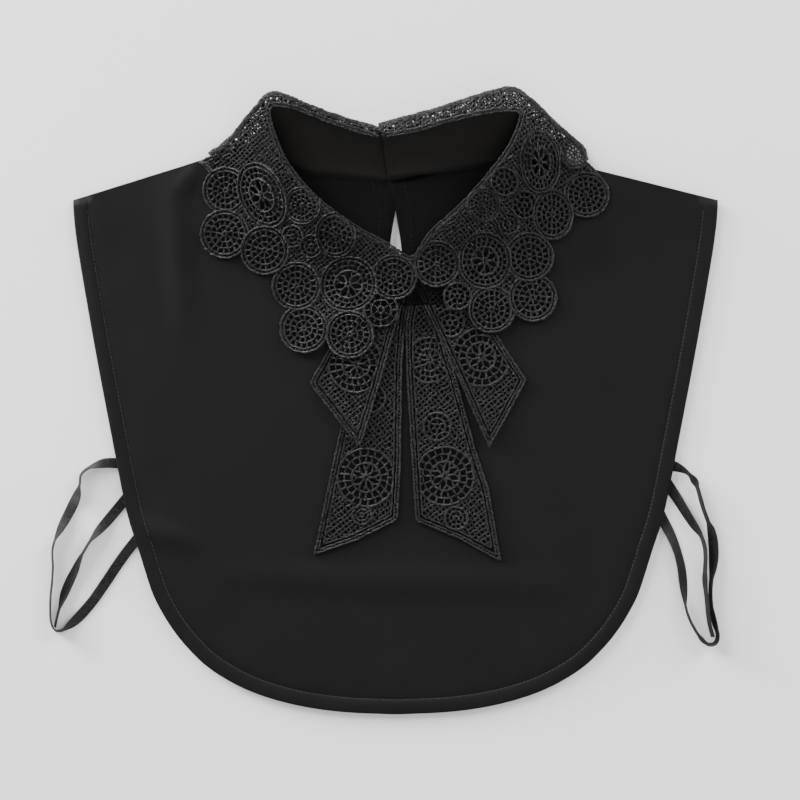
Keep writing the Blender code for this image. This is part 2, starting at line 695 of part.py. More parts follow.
def rosette_holes(rosette):
    """The hub's petals and the ring's cells of one open-work rosette."""
    turn = Matrix.Rotation(math.radians(rosette.turn), 2)
    mean = (rosette.half_x + rosette.half_y) / 2

    def spot(angle, radius):
        point = turn @ Vector((rosette.half_x * radius * math.cos(angle),
                               rosette.half_y * radius * math.sin(angle)))
        return (rosette.x + point.x, rosette.y + point.y)

    holes = []
    for k in range(PETALS):
        middle = 2 * math.pi * k / PETALS
        wide = math.pi / PETALS - THREAD / 2 / (mean * PETAL_SHOULDER)
        tip = wide * PETAL_SHOULDER / PETAL_OUTER
        holes.append([spot(middle, PETAL_INNER), spot(middle - wide, PETAL_SHOULDER),
                      spot(middle - tip, PETAL_OUTER), spot(middle + tip, PETAL_OUTER),
                      spot(middle + wide, PETAL_SHOULDER)])
    for k in range(CELLS):
        middle = 2 * math.pi * (k + 0.5) / CELLS
        wide = math.pi / CELLS - THREAD / 2 / (mean * CELL_INNER)
        outer_wide = math.pi / CELLS - THREAD / 2 / (mean * CELL_OUTER)
        holes.append([spot(middle - wide, CELL_INNER), spot(middle - outer_wide, CELL_OUTER),
                      spot(middle + outer_wide, CELL_OUTER), spot(middle + wide, CELL_INNER)])
    return holes


def meeting(one, two, side):
    """Where two neighbouring scallops meet, on the outer side of the way between them."""
    run = Vector((two.x - one.x, two.y - one.y))
    apart = run.length
    along = (apart * apart + one.radius ** 2 - two.radius ** 2) / (2 * apart)
    across = math.sqrt(max(0.0, one.radius ** 2 - along ** 2))
    run.normalize()
    outward = Vector((run.y, -run.x)) * side
    point = Vector((one.x, one.y)) + run * along + outward * across
    return (point.x, point.y)


def scallop_edge(scallops, start, end, side):
    """The outer edge round a row of scallops, from a start point to an end point."""
    notches = [start] + [meeting(a, b, side) for a, b in zip(scallops, scallops[1:])] + [end]
    edge = []
    for scallop, first, last in zip(scallops, notches, notches[1:]):
        begin = math.atan2(first[1] - scallop.y, first[0] - scallop.x)
        finish = math.atan2(last[1] - scallop.y, last[0] - scallop.x)
        sweep = (finish - begin) * side % (2 * math.pi)
        count = max(2, round(sweep / SCALLOP_STEP))
        for k in range(count):
            angle = begin + side * sweep * k / count
            edge.append((scallop.x + scallop.radius * math.cos(angle),
                         scallop.y + scallop.radius * math.sin(angle)))
    edge.append(end)
    return edge


def fold_line(fold, side):
    """The line where a leaf turns under, inside its top edge by the fold's radius."""
    path = even(through(fold, 4), FOLD_PITCH)
    return offset_path(path, side * (FOLD_RADIUS + LACE_WALL / 2))


def make_leaf(name, fold, corner, front_scallops, under_scallops, front_rosettes, under_rosettes, side):
    """One lace leaf; side is 1 for the left leaf and -1 for the right one."""
    line = fold_line(fold, side)
    line_points = [(p.x, p.y) for p in line]
    if side > 0:
        inner_path = TOP_LOOP[FRONT_AT:]
    else:
        inner_path = TOP_LOOP[FRONT_AT:0:-1]
    inner_edge = [(p.x, p.y) for p in offset_path(inner_path, -side * LEAF_OVERHANG)]
    first = front_scallops[0]
    start = (first.x - side * first.radius, first.y + SCALLOP_START)
    last = front_scallops[-1]
    toward = Vector(inner_edge[0]) - Vector((last.x, last.y))
    toward.normalize()
    end = (last.x + toward.x * last.radius, last.y + toward.y * last.radius)
    front = inner_edge[1:] + line_points + [corner] + scallop_edge(front_scallops, start, end, side)
    front_holes = [hole for rosette in front_rosettes for hole in rosette_holes(rosette)]
    front_inner = grid(front, front_holes, LACE_PITCH)

    under_first = under_scallops[0]
    under_start = (under_first.x - side * under_first.radius, under_first.y + SCALLOP_START)
    under_last = under_scallops[-1]
    under_end = (under_last.x + side * under_last.radius, under_last.y + SCALLOP_START)
    under = line_points + scallop_edge(under_scallops, under_start, under_end, side)
    under_holes = [hole for rosette in under_rosettes for hole in rosette_holes(rosette)]
    near_fold = []
    for share in UNDER_ROWS:
        gap = UNDER_FALL * share
        near_fold += [(p.x, p.y) for p in offset_path(line, side * gap)[1:-1]
                      if inside(p.x, p.y, under)
                      and nearest(p.x, p.y, line)[0] > gap - UNDER_EDGE_GAP / 4
                      and nearest(p.x, p.y, closed(under))[0] > min(gap, UNDER_EDGE_GAP) / 2
                      and not any(inside(p.x, p.y, hole) for hole in under_holes)
                      and all(nearest(p.x, p.y, closed(h))[0] > UNDER_HOLE_GAP for h in under_holes)]
    far = UNDER_FALL * UNDER_ROWS[-1] + LACE_PITCH * KEEP_OFF
    far_grid = [p for p in grid(under, under_holes, LACE_PITCH) if nearest(*p, line)[0] > far]

    line_heights = [Vector((p.x, p.y, leaf_height(p.x, p.y) - 2 * FOLD_RADIUS)) for p in line]

    def under_height(x, y):
        gap, edge = nearest(x, y, line_heights)
        return FLOOR_LACE + (max(edge.z, FLOOR_LACE) - FLOOR_LACE) * fall(gap / UNDER_FALL)

    bm = bmesh.new()
    add_sheet(bm, triangles(front, front_holes, front_inner), leaf_height)
    add_sheet(bm, triangles(under, under_holes, near_fold + far_grid), under_height, upward=False)
    outward = offset_path(line, -side)
    rows = []
    for point, out in zip(line, outward):
        top = leaf_height(point.x, point.y)
        low = under_height(point.x, point.y)
        radius = (top - low) / 2
        middle = (top + low) / 2
        normal = (out - point).normalized()
        row = []
        for k in range(FOLD_STEPS + 1):
            angle = math.pi / 2 - math.pi * k / FOLD_STEPS
            reach = radius * math.cos(angle)
            row.append(bm.verts.new((point.x + normal.x * reach, point.y + normal.y * reach,
                                     middle + radius * math.sin(angle))))
        rows.append(row)
    for one, two in zip(rows, rows[1:]):
        for k in range(FOLD_STEPS):
            quad = (one[k], one[k + 1], two[k + 1], two[k])
            bm.faces.new(quad if side > 0 else quad[::-1])
    return finish_cloth(name, bm, LACE_WALL, LACE)


def make_tail(name, corners, rosettes, height):
    """A lace tail with straight edges."""
    outline = []
    for a, b in zip(closed(corners), closed(corners)[1:]):
        outline += [(p.x, p.y) for p in even([a, b], TAIL_PITCH)[:-1]]
    holes = [hole for rosette in rosettes for hole in rosette_holes(rosette)]
    inner = grid(outline, holes, TAIL_PITCH)
    bm = bmesh.new()
    add_sheet(bm, triangles(outline, holes, inner), height)
    return finish_cloth(name, bm, LACE_WALL, LACE)


# Elastics

def make_elastic(name, route):
    """A flat elastic swept along its route, twisting as its roll says."""
    path = even(through([(s.x, s.y, s.roll) for s in route], CURVE_STEPS), STRAP_STEP)
    bm = bmesh.new()
    rings = []
    for k, point in enumerate(path):
        before = path[max(0, k - 1)]
        after = path[min(len(path) - 1, k + 1)]
        run = (after.xy - before.xy).normalized()
        sideways = Vector((-run.y, run.x, 0.0))
        roll = math.radians(point.z)
        wide = sideways * math.cos(roll) + Vector((0.0, 0.0, 1.0)) * math.sin(roll)
        thick = Vector((0.0, 0.0, 1.0)) * math.cos(roll) - sideways * math.sin(roll)
        reach = abs(wide.z) * ELASTIC_WIDTH / 2 + abs(thick.z) * ELASTIC_WALL / 2
        centre = Vector((point.x, point.y, reach + STRAP_FLOAT))
        corners = [(-1, -1), (1, -1), (1, 1), (-1, 1)]
        rings.append([bm.verts.new(centre + wide * (a * ELASTIC_WIDTH / 2) + thick * (b * ELASTIC_WALL / 2))
                      for a, b in corners])
    for one, two in zip(rings, rings[1:]):
        for k in range(4):
            bm.faces.new((one[k], one[(k + 1) % 4], two[(k + 1) % 4], two[k]))
    bm.faces.new(rings[0][::-1])
    bm.faces.new(rings[-1])
    bmesh.ops.recalc_face_normals(bm, faces=bm.faces)
    bmesh.ops.scale(bm, vec=(MM, MM, MM), verts=bm.verts)
    mesh = bpy.data.meshes.new(name)
    bm.to_mesh(mesh)
    bm.free()
    return place(name, mesh, ELASTIC)


for old in list(bpy.data.objects):
    bpy.data.objects.remove(old, do_unlink=True)

COLLAR = bpy.data.collections.new("lace_collar")
bpy.context.scene.collection.children.link(COLLAR)
ROOT = bpy.data.objects.new("lace_collar_root", None)
COLLAR.objects.link(ROOT)
CLOTH = material("black_cloth", BLACK_CLOTH, 0.75)
LACE = material("black_lace", BLACK_LACE, 0.6)
ELASTIC = material("black_elastic", BLACK_ELASTIC, 0.7)
HORN = material("black_button", BLACK_HORN, 0.3)

make_front_panel()
make_back_panel()
make_neck_stand()
make_button()
make_leaf("lace_leaf_left", LEFT_FOLD, LEFT_LEAF_CORNER, LEFT_FRONT_SCALLOPS, LEFT_UNDER_SCALLOPS,
          LEFT_FRONT_ROSETTES, LEFT_UNDER_ROSETTES, 1)
make_leaf("lace_leaf_right", RIGHT_FOLD, RIGHT_LEAF_CORNER, RIGHT_FRONT_SCALLOPS, RIGHT_UNDER_SCALLOPS,
          RIGHT_FRONT_ROSETTES, RIGHT_UNDER_ROSETTES, -1)
make_tail("bow_tail_left_long", LONG_LEFT_TAIL, [LONG_LEFT_ROSETTE], long_tail_height)
make_tail("bow_tail_right_long", LONG_RIGHT_TAIL, LONG_RIGHT_ROSETTES, long_tail_height)
make_tail("bow_tail_left_short", SHORT_LEFT_TAIL, [SHORT_LEFT_ROSETTE], short_tail_height)
make_tail("bow_tail_right_short", SHORT_RIGHT_TAIL, [SHORT_RIGHT_ROSETTE], short_tail_height)
make_elastic("elastic_left_loop", LEFT_LOOP)
make_elastic("elastic_left_inner", LEFT_INNER)
make_elastic("elastic_right_loop", RIGHT_LOOP)
make_elastic("elastic_right_inner", RIGHT_INNER)
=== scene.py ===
"""The looks of a black lace collar: a false collar laid flat on a pale floor, seen from straight above.

Lengths in the tables are millimetres, in the frame's own axes: +X to the right, +Y towards the
neck and +Z up from the floor. Medallions, threads and stitches are drawn as paths in plan and then
laid on the surface that carries them.
"""
import math
from collections import namedtuple

import bmesh
import bpy
import numpy as np
from mathutils import Matrix, Vector, noise
from mathutils.geometry import delaunay_2d_cdt


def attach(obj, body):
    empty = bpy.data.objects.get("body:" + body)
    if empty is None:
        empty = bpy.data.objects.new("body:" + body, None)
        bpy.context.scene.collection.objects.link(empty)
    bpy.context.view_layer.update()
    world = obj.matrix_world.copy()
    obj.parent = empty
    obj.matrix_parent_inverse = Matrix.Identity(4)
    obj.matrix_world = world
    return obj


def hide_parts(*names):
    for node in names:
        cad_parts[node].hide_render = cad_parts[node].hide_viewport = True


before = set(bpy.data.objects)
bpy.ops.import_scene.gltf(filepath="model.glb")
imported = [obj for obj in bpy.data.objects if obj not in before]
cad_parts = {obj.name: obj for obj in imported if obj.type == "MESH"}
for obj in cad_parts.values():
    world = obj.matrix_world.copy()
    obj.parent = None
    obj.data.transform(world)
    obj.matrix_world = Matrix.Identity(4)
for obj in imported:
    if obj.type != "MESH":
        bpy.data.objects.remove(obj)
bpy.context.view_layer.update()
MM = 0.001

# Cloth, lace and elastic
CLOTH_WALL = 1.2
LACE_WALL = 1.0
ELASTIC_WIDTH = 6.0
ELASTIC_WALL = 0.8
SEAM_GAP = 0.7
LAYER_GAP = 0.5
PANEL_STEP = CLOTH_WALL + LAYER_GAP
LACE_ON_CLOTH = CLOTH_WALL / 2 + LAYER_GAP + LACE_WALL / 2
LACE_ON_LACE = LACE_WALL + LAYER_GAP
FLOOR_LACE = LACE_WALL / 2

# The panels, and the lift where the hidden half of the lace lies under them
FRONT_PITCH = 5.0
BACK_PITCH = 6.0
EDGE_PITCH = 4.0
KEEP_OFF = 0.5
BACK_INSET = 2.0
LIFT = LACE_WALL + LAYER_GAP
LIFT_CENTRE_Y = 142.0
LIFT_HALF_X = 122.0
LIFT_HALF_Y = 44.0
LIFT_FULL = 1.15
LIFT_NONE = 1.9

# The hem: turned 8 mm under and stitched
HEM_WIDTH = 8.0
HEM_ROWS = (0.35, 0.9, 3.8, 6.6, 7.4, 8.0, 8.7, 10.0)
SHOULDER_ROWS = (0.35, 0.9, 3.2)
HEM_RAISE = 0.3
HEM_GROOVE = 0.48
HEM_GROOVE_WIDTH = 0.75
EDGE_DROP = 0.35
EDGE_ROUND = 0.9
PUCKER = 0.16
PUCKER_PITCH = 7.5
PUCKER_REACH = 7.0

# Soft unevenness of cloth that has been handled
DRAPE = 0.55
DRAPE_ACROSS = 46.0
DRAPE_ALONG = 78.0

# Neck stand; its two ends lap at the centre back, and the neckline passes from one to the other
STAND_STEPS = 8
STAND_ROWS = 10
STAND_CURVE = 1.4
LAP_RAISE = 2.4
LAP_ROWS = 1
NECK_RIGHT_FROM = -2.0
NECK_LEFT_TO = -7.0
BACK_STRETCH_ROWS = 3

# Lace leaves: how they fall from the stand, and the fold along their top edge
LEAF_FALL = 30.0
LEAF_OVERHANG = 1.0
LEAF_SLACK = 0.3
LEAF_RISE = LAYER_GAP + LACE_WALL / 2 + CLOTH_WALL / 2 + LEAF_SLACK
FOLD_RADIUS = 2.4
FOLD_CORDS = 6
FOLD_CORD = 0.42
FOLD_WOBBLE = 0.6
UNDER_FALL = 5.5
FOLD_PITCH = 3.0
SCALLOP_STEP = 0.2
SCALLOP_START = 3.0
LEAF_START = 50.0

# Threads of the guipure
NET_PITCH = 2.15
TAIL_NET_PITCH = 2.45
NET_THREAD = 0.47
NET_TURNS = (38.0, -52.0)
UNDER_NET_TURNS = (8.0, -82.0)
UNDER_NET_PITCH = 1.3
UNDER_THIN = 1.15
NET_WOBBLE = 1.0
NET_WAVE = 2.6
KNOT_STEP = 0.8
KNOT_SHIFT = 0.26
KNOT_THIN = 0.64
KNOT_THICK = 1.3
KNOT_SEED = 5
NET_UP = -0.05
THREAD_STEP = 1.5
CLIP_STEP = 0.7
OVERLAP_SHARE = 0.975
BORDER_CORD = 0.72
INNER_CORD = 0.52
BORDER_UP = 0.12
BORDER_GAP = 1.9
BORDER_TIE_PITCH = 2.1
TIE_THREAD = 0.42
ARM_THREAD = 0.72
ARM_START = 0.1
ARM_FORK = 0.6
ARM_SPREAD = 0.27
THREAD_SIDES = 6

# The keyhole at the centre back
KEYHOLE_TOP = 111.0
KEYHOLE_BOTTOM = 70.0
KEYHOLE_HALF = 4.2
KEYHOLE_STEPS = 10
KEYHOLE_END_STEPS = 6
SLIT_HALF = 0.02
SLIT_TOP_X = -4.6
SLIT_TOP_Y = 127.9

# Sewing thread
STITCH_LENGTH = 2.1
STITCH_GAP = 0.7
STITCH_THREAD = 0.2
STITCH_SIDES = 6
STITCH_RINGS = 4

Edge = namedtuple("Edge", "half_width y")
StandRow = namedtuple("StandRow", "bottom_x bottom_y top_x top_y top_z raised")
Scallop = namedtuple("Scallop", "x y radius")
Medallion = namedtuple("Medallion", "pattern x y half_x half_y turn")
Pattern = namedtuple("Pattern", "rings rows arms arm_ring")
Ring = namedtuple("Ring", "share thread")
Row = namedtuple("Row", "outer inner count shift thread")
Thread = namedtuple("Thread", "path thickness up closed")
Ridge = namedtuple("Ridge", "x0 y0 x1 y1 height half_width")
Strap = namedtuple("Strap", "x y roll")

# Half outline of the front panel, from the shoulder corner down the side and round to the hem
SIDE_EDGE = [
    Edge(187.0, 116.9),
    Edge(185.6, 99.5),
    Edge(182.1, 76.3),
    Edge(174.0, 29.9),
    Edge(165.2, -16.5),
    Edge(156.0, -62.9),
    Edge(148.8, -86.1),
    Edge(141.5, -109.3),
    Edge(136.0, -120.9),
    Edge(128.8, -132.5),
    Edge(119.2, -144.1),
    Edge(106.4, -155.7),
    Edge(85.6, -167.3),
    Edge(60.0, -175.4),
    Edge(32.0, -179.8),
    Edge(0.0, -181.3),
]

# The stand, from its inner end at the centre back, round the right, the front and the left,
# to its outer end, which passes under the inner one
STAND = [
    StandRow(-4.4, 129.2, -8.0, 153.6, 20.0, 1.0),
    StandRow(13.0, 131.6, 13.5, 157.4, 20.4, 1.0),
    StandRow(30.0, 133.8, 32.0, 163.0, 21.5, 0.0),
    StandRow(58.3, 138.3, 60.6, 168.5, 23.0, 0.0),
    StandRow(78.0, 144.7, 73.5, 165.5, 24.0, 0.0),
    StandRow(77.0, 126.0, 68.7, 148.8, 21.5, 0.0),
    StandRow(67.0, 108.0, 57.5, 132.5, 19.0, 0.0),
    StandRow(51.0, 86.0, 38.6, 111.5, 16.0, 0.0),
    StandRow(31.0, 68.0, 21.5, 96.0, 12.5, 0.0),
    StandRow(10.2, 56.0, 10.2, 81.5, 8.5, 0.0),
    StandRow(-14.8, 62.0, -6.1, 89.5, 11.0, 0.0),
    StandRow(-48.0, 80.0, -29.3, 102.6, 15.0, 0.0),
    StandRow(-68.0, 104.0, -50.5, 119.5, 18.0, 0.0),
    StandRow(-80.0, 132.0, -67.0, 141.8, 21.0, 0.0),
    StandRow(-78.0, 151.7, -74.0, 168.0, 24.0, 0.0),
    StandRow(-55.4, 134.3, -60.5, 170.5, 23.0, 0.0),
    StandRow(-29.3, 130.8, -34.0, 161.0, 21.0, 0.0),
    StandRow(-5.5, 128.6, -9.2, 154.4, 20.0, 0.0),
    StandRow(11.0, 131.2, 11.5, 158.4, 20.2, 0.0),
]
RIGHT_NECK_CORNER = (82.8, 142.7)
LEFT_NECK_CORNER = (-84.5, 148.6)
RIGHT_SHOULDER_ROW = 4
FRONT_ROW = 9
LEFT_SHOULDER_ROW = 14
BACK_ROW = 17

# Top edge of each folded leaf, from the centre back to the outer end of the shoulder
LEFT_FOLD = [
    (-7.2, 157.5), (-26.4, 162.7), (-49.6, 170.8), (-62.0, 176.2), (-72.8, 177.4),
    (-84.4, 165.6), (-96.0, 154.0), (-108.6, 144.4),
]
RIGHT_FOLD = [
    (-9.8, 159.6), (-3.0, 161.8), (20.0, 167.9), (43.2, 175.5), (66.4, 181.3), (78.0, 174.3),
    (89.6, 164.4), (101.2, 155.7), (109.9, 147.6), (112.2, 140.5),
]

# Outer scallops of each leaf from the shoulder to the centre front, then of its hidden half
# from the shoulder to the centre back
LEFT_FRONT_SCALLOPS = [
    Scallop(-98.3, 122.4, 12.9),
    Scallop(-98.9, 97.2, 13.8),
    Scallop(-75.7, 87.9, 13.7),
    Scallop(-57.4, 67.0, 13.8),
    Scallop(-53.1, 42.3, 13.7),
    Scallop(-26.4, 38.9, 13.4),
    Scallop(-8.4, 53.1, 9.7),
    Scallop(-0.9, 71.9, 12.8),
]
RIGHT_FRONT_SCALLOPS = [
    Scallop(110.5, 119.8, 12.8),
    Scallop(91.1, 106.5, 12.6),
    Scallop(77.4, 83.8, 13.7),
    Scallop(79.5, 60.3, 13.6),
    Scallop(55.7, 53.4, 13.4),
    Scallop(35.7, 60.9, 7.8),
    Scallop(23.8, 79.5, 12.9),
]
LEFT_UNDER_SCALLOPS = [
    Scallop(-100.0, 125.5, 13.0),
    Scallop(-77.0, 119.0, 13.5),
    Scallop(-52.0, 124.0, 14.0),
    Scallop(-27.0, 122.0, 13.0),
    Scallop(-18.5, 144.5, 12.0),
]
RIGHT_UNDER_SCALLOPS = [
    Scallop(99.0, 123.5, 13.0),
    Scallop(77.0, 118.0, 13.5),
    Scallop(52.0, 126.0, 14.0),
    Scallop(27.0, 124.0, 13.0),
    Scallop(9.5, 147.0, 12.0),
]

LEFT_LEAF_CORNER = (-113.4, 138.8)
RIGHT_LEAF_CORNER = (114.0, 135.6)

# Bow tails, each from its root at the centre front
LONG_LEFT_TAIL = [
    (4.5, 68.0), (9.0, 68.0), (5.5, 43.2), (4.0, 20.0), (3.4, -33.0), (1.6, -68.7),
    (-22.0, -80.5), (-47.9, -89.6), (-39.2, -47.9), (-31.0, -10.0), (-14.0, 35.0),
]
LONG_RIGHT_TAIL = [
    (9.6, 68.0), (14.0, 68.0), (26.0, 44.0), (36.0, 12.0), (46.7, -27.5), (54.2, -50.2), (61.8, -93.7),
    (37.0, -80.0), (11.3, -69.3), (7.8, -11.3), (5.9, 21.2), (5.6, 43.2),
]
SHORT_LEFT_TAIL = [
    (9.0, 70.0), (0.0, 43.2), (-9.0, 10.2), (-20.6, -27.5), (-50.2, 10.7), (-38.6, 31.0), (-22.0, 53.0), (-6.0, 70.0),
]
SHORT_RIGHT_TAIL = [
    (9.7, 70.0), (36.8, 11.9), (54.2, -27.5), (76.3, 12.5), (60.0, 37.4), (36.0, 70.0),
]
TAIL_TOP_Y = 86.0
TAIL_COVER_MARGIN = 9.0
TAIL_COVER_FALL = 14.0
ROOT_RISE = 1.6
ROOT_LOW_Y = 42.0
ROOT_HIGH_Y = 54.0
ROOT_X = 10.0
ROOT_NEAR = 22.0
ROOT_FAR = 44.0
# Tail threads from here up get a darker finish, as painted shade under the leaves
ROOT_SHADE_Y = 56.0

# Soft creases of the front panel
RIDGE_END = 0.15
RIDGES = [
    Ridge(-130.0, 124.0, -123.0, 44.0, 1.5, 12.0),
    Ridge(-115.0, 136.0, -131.0, 117.0, 1.7, 6.0),
    Ridge(-96.0, -101.0, 92.0, -107.0, 1.1, 14.0),
    Ridge(-145.0, -72.0, -118.0, -83.0, 1.4, 9.0),
    Ridge(136.0, 92.0, 118.0, 16.0, 0.9, 14.0),
]

# Elastics, from hem to hem or from hem to the loop's tip; roll 0 lies flat and 90 stands on edge
LEFT_LOOP = [
    Strap(-163.3, -35.7, 8.0), Strap(-168.5, -35.7, 22.0), Strap(-173.6, -36.8, 50.0),
    Strap(-178.6, -38.8, 80.0), Strap(-182.6, -42.6, 90.0), Strap(-183.3, -48.0, 78.0),
    Strap(-184.9, -54.0, 35.0), Strap(-187.6, -60.3, 8.0), Strap(-191.1, -67.3, 18.0),
    Strap(-194.6, -74.0, 42.0), Strap(-197.8, -80.6, 76.0), Strap(-199.2, -87.3, 90.0),
    Strap(-198.9, -95.4, 90.0), Strap(-199.3, -103.9, 90.0), Strap(-200.2, -112.8, 88.0),
    Strap(-200.4, -121.5, 84.0), Strap(-199.9, -128.3, 84.0), Strap(-197.6, -132.8, 88.0),
    Strap(-193.6, -132.8, 84.0), Strap(-188.8, -129.7, 44.0), Strap(-183.0, -124.2, 10.0),
    Strap(-176.0, -116.0, 0.0), Strap(-168.5, -105.3, 0.0), Strap(-161.5, -94.8, 4.0),
    Strap(-155.6, -86.6, 4.0), Strap(-151.4, -81.2, 0.0),
]
LEFT_INNER = [
    Strap(-158.1, -58.1, 0.0), Strap(-162.7, -63.7, 0.0), Strap(-167.9, -69.9, 12.0),
    Strap(-173.1, -75.8, 42.0), Strap(-177.2, -80.9, 74.0), Strap(-180.1, -85.6, 84.0),
    Strap(-183.0, -90.8, 62.0), Strap(-186.0, -97.7, 38.0), Strap(-189.4, -104.7, 26.0),
    Strap(-192.3, -111.7, 34.0), Strap(-194.3, -117.5, 60.0), Strap(-195.8, -122.6, 86.0),
    Strap(-196.9, -127.2, 90.0), Strap(-197.7, -130.9, 90.0),
]
RIGHT_LOOP = [
    Strap(161.6, -37.5, 8.0), Strap(166.0, -39.3, 46.0), Strap(170.4, -42.2, 74.0),
    Strap(173.6, -46.2, 50.0), Strap(175.5, -50.9, 80.0), Strap(177.2, -57.1, 72.0),
    Strap(178.9, -62.9, 76.0), Strap(181.0, -68.6, 80.0), Strap(183.2, -74.6, 46.0),
    Strap(184.5, -81.5, 24.0), Strap(184.9, -88.5, 26.0), Strap(184.4, -95.4, 44.0),
    Strap(183.4, -102.4, 72.0), Strap(182.8, -109.3, 86.0), Strap(183.0, -116.3, 84.0),
    Strap(184.0, -123.3, 66.0), Strap(185.6, -130.2, 66.0), Strap(187.0, -135.8, 84.0),
    Strap(185.6, -140.2, 90.0), Strap(181.8, -141.0, 84.0), Strap(178.0, -138.3, 64.0),
    Strap(174.4, -133.3, 82.0), Strap(170.9, -126.7, 88.0), Strap(168.6, -119.8, 80.0),
    Strap(167.8, -112.6, 50.0), Strap(167.0, -104.6, 30.0), Strap(166.0, -96.4, 30.0),
    Strap(163.7, -87.3, 34.0), Strap(160.2, -78.2, 20.0), Strap(156.3, -70.3, 4.0),
]
RIGHT_INNER = [
    Strap(160.2, -50.9, 4.0), Strap(164.4, -57.5, 20.0), Strap(169.1, -65.3, 32.0),
    Strap(173.6, -72.4, 46.0), Strap(177.2, -77.8, 72.0), Strap(179.2, -83.4, 88.0),
    Strap(179.9, -89.6, 88.0), Strap(179.7, -96.0, 80.0), Strap(179.5, -102.4, 66.0),
    Strap(179.9, -109.0, 72.0), Strap(180.7, -116.0, 88.0), Strap(181.3, -123.0, 90.0),
    Strap(182.4, -130.0, 90.0), Strap(184.2, -136.6, 90.0),
]
STRAP_STEP = 2.0
CURVE_STEPS = 6
STRAP_FLOAT = 0.1
ELASTIC_RIBS = 6
ELASTIC_RIB = 0.12
ELASTIC_TUCK = 6.5
STEEPEST_ROLL = 74.0

# The camera, straight above; the picture's width is what 800 px cover
SENSOR = 36.0
CAMERA_HEIGHT = 1500.0
CAMERA_FOCUS = 4.0
CAMERA_X = 2.6
CAMERA_Y = 0.9
PICTURE_WIDTH = 464.0
WINDOW_POWER = 275.0
FAR_WINDOW_POWER = 125.0
LOW_WINDOW_POWER = 66.0
LOW_FAR_POWER = 24.0
FILL_POWER = 27.0
ROOM_LIGHT = 0.42
FLOOR_HALF = 12000.0
FLOOR_GAP = 0.3

# Finishes
SHEEN = 0.02
CLOTH_GLOSS = 0.1
THREAD_GLOSS = 0.28
DYE_SCALE = 45.0
GRAIN_CONTRAST = 3.0
THREAD_GRAIN = 520.0
BRAID_GRAIN = 800.0

# Sewing and the stand
DRAPE_CLEAR = 30.0
DRAPE_CLEAR_FALL = 30.0
FACING_WIDTH = 9.0
STAND_SOFT = 0.5
CLOSE_STITCHES = {"Step": 2.3 * MM, "Half length": 1.05 * MM, "Thread": 0.3 * MM}
STAND_STITCH_SHARE = 0.1
LAP_STITCH_AT = 2
BUTTON_STITCHES = [(6.1, 146.5, 1.8), (37.4, 147.0, 0.8)]
SEAM_ROLL = 0.8
SEAM_ROLL_OFFSET = 0.4
SEAM_ROLL_UP = -0.2
RING_UP = 0.12
OUTLINE_SLACK = 0.9
TAIL_BORDER = [(0.7, 0.6), (2.5, 0.52), (4.3, 0.5)]

# The patterns of the medallions: rings, rows of spokes between rings, and the forked arms of a hub
WHEEL = Pattern(
    rings=[Ring(1.0, 0.78), Ring(0.87, 0.62), Ring(0.69, 0.46), Ring(0.51, 0.82), Ring(0.1, 0.75)],
    rows=[Row(1.0, 0.87, 44, 0.0, 0.4), Row(0.87, 0.69, 23, 0.0, 0.6), Row(0.69, 0.51, 20, 0.5, 0.6)],
    arms=7, arm_ring=0.51)
STAR = Pattern(
    rings=[Ring(1.0, 0.7), Ring(0.76, 0.5), Ring(0.5, 0.72), Ring(0.12, 0.62)],
    rows=[Row(1.0, 0.76, 21, 0.0, 0.6), Row(0.76, 0.5, 18, 0.5, 0.58)],
    arms=8, arm_ring=0.5)
ROSETTE = Pattern(
    rings=[Ring(1.0, 0.78), Ring(0.85, 0.62), Ring(0.6, 0.52), Ring(0.35, 0.46), Ring(0.1, 0.72)],
    rows=[Row(1.0, 0.85, 34, 0.0, 0.4), Row(0.85, 0.6, 19, 0.0, 0.58), Row(0.6, 0.35, 13, 0.5, 0.5),
          Row(0.35, 0.1, 7, 0.0, 0.48)],
    arms=0, arm_ring=0.0)
BUD = Pattern(
    rings=[Ring(1.0, 0.74), Ring(0.6, 0.56), Ring(0.2, 0.7)],
    rows=[Row(1.0, 0.6, 12, 0.0, 0.52), Row(0.6, 0.2, 6, 0.5, 0.5)],
    arms=0, arm_ring=0.0)
OPENING = Pattern(rings=[Ring(1.0, 0.5)], rows=[], arms=0, arm_ring=0.0)

# Medallions, each cut away where it meets one that is listed before it
LEFT_MEDALLIONS = [
    Medallion(WHEEL, -27.1, 67.9, 16.3, 15.6, 12.0),
    Medallion(WHEEL, -77.0, 119.2, 12.8, 19.4, 27.0),
    Medallion(ROSETTE, -57.4, 67.0, 13.8, 13.6, 0.0),
    Medallion(ROSETTE, -75.7, 87.7, 13.6, 13.7, 9.0),
    Medallion(ROSETTE, -98.9, 97.2, 13.8, 13.8, 20.0),
    Medallion(ROSETTE, -98.3, 122.4, 12.9, 13.2, 4.0),
    Medallion(ROSETTE, -53.1, 42.3, 13.7, 13.7, 15.0),
    Medallion(ROSETTE, -26.4, 38.9, 13.4, 13.4, 7.0),
    Medallion(ROSETTE, -0.9, 71.9, 12.8, 12.6, 3.0),
    Medallion(BUD, -8.4, 53.1, 9.7, 9.7, 0.0),
    Medallion(ROSETTE, -34.5, 96.0, 11.3, 12.6, 11.0),
    Medallion(ROSETTE, -53.6, 112.8, 10.2, 10.2, 0.0),
    Medallion(BUD, -59.5, 95.6, 6.2, 6.2, 10.0),
    Medallion(BUD, -48.6, 89.9, 6.4, 6.4, 0.0),
]
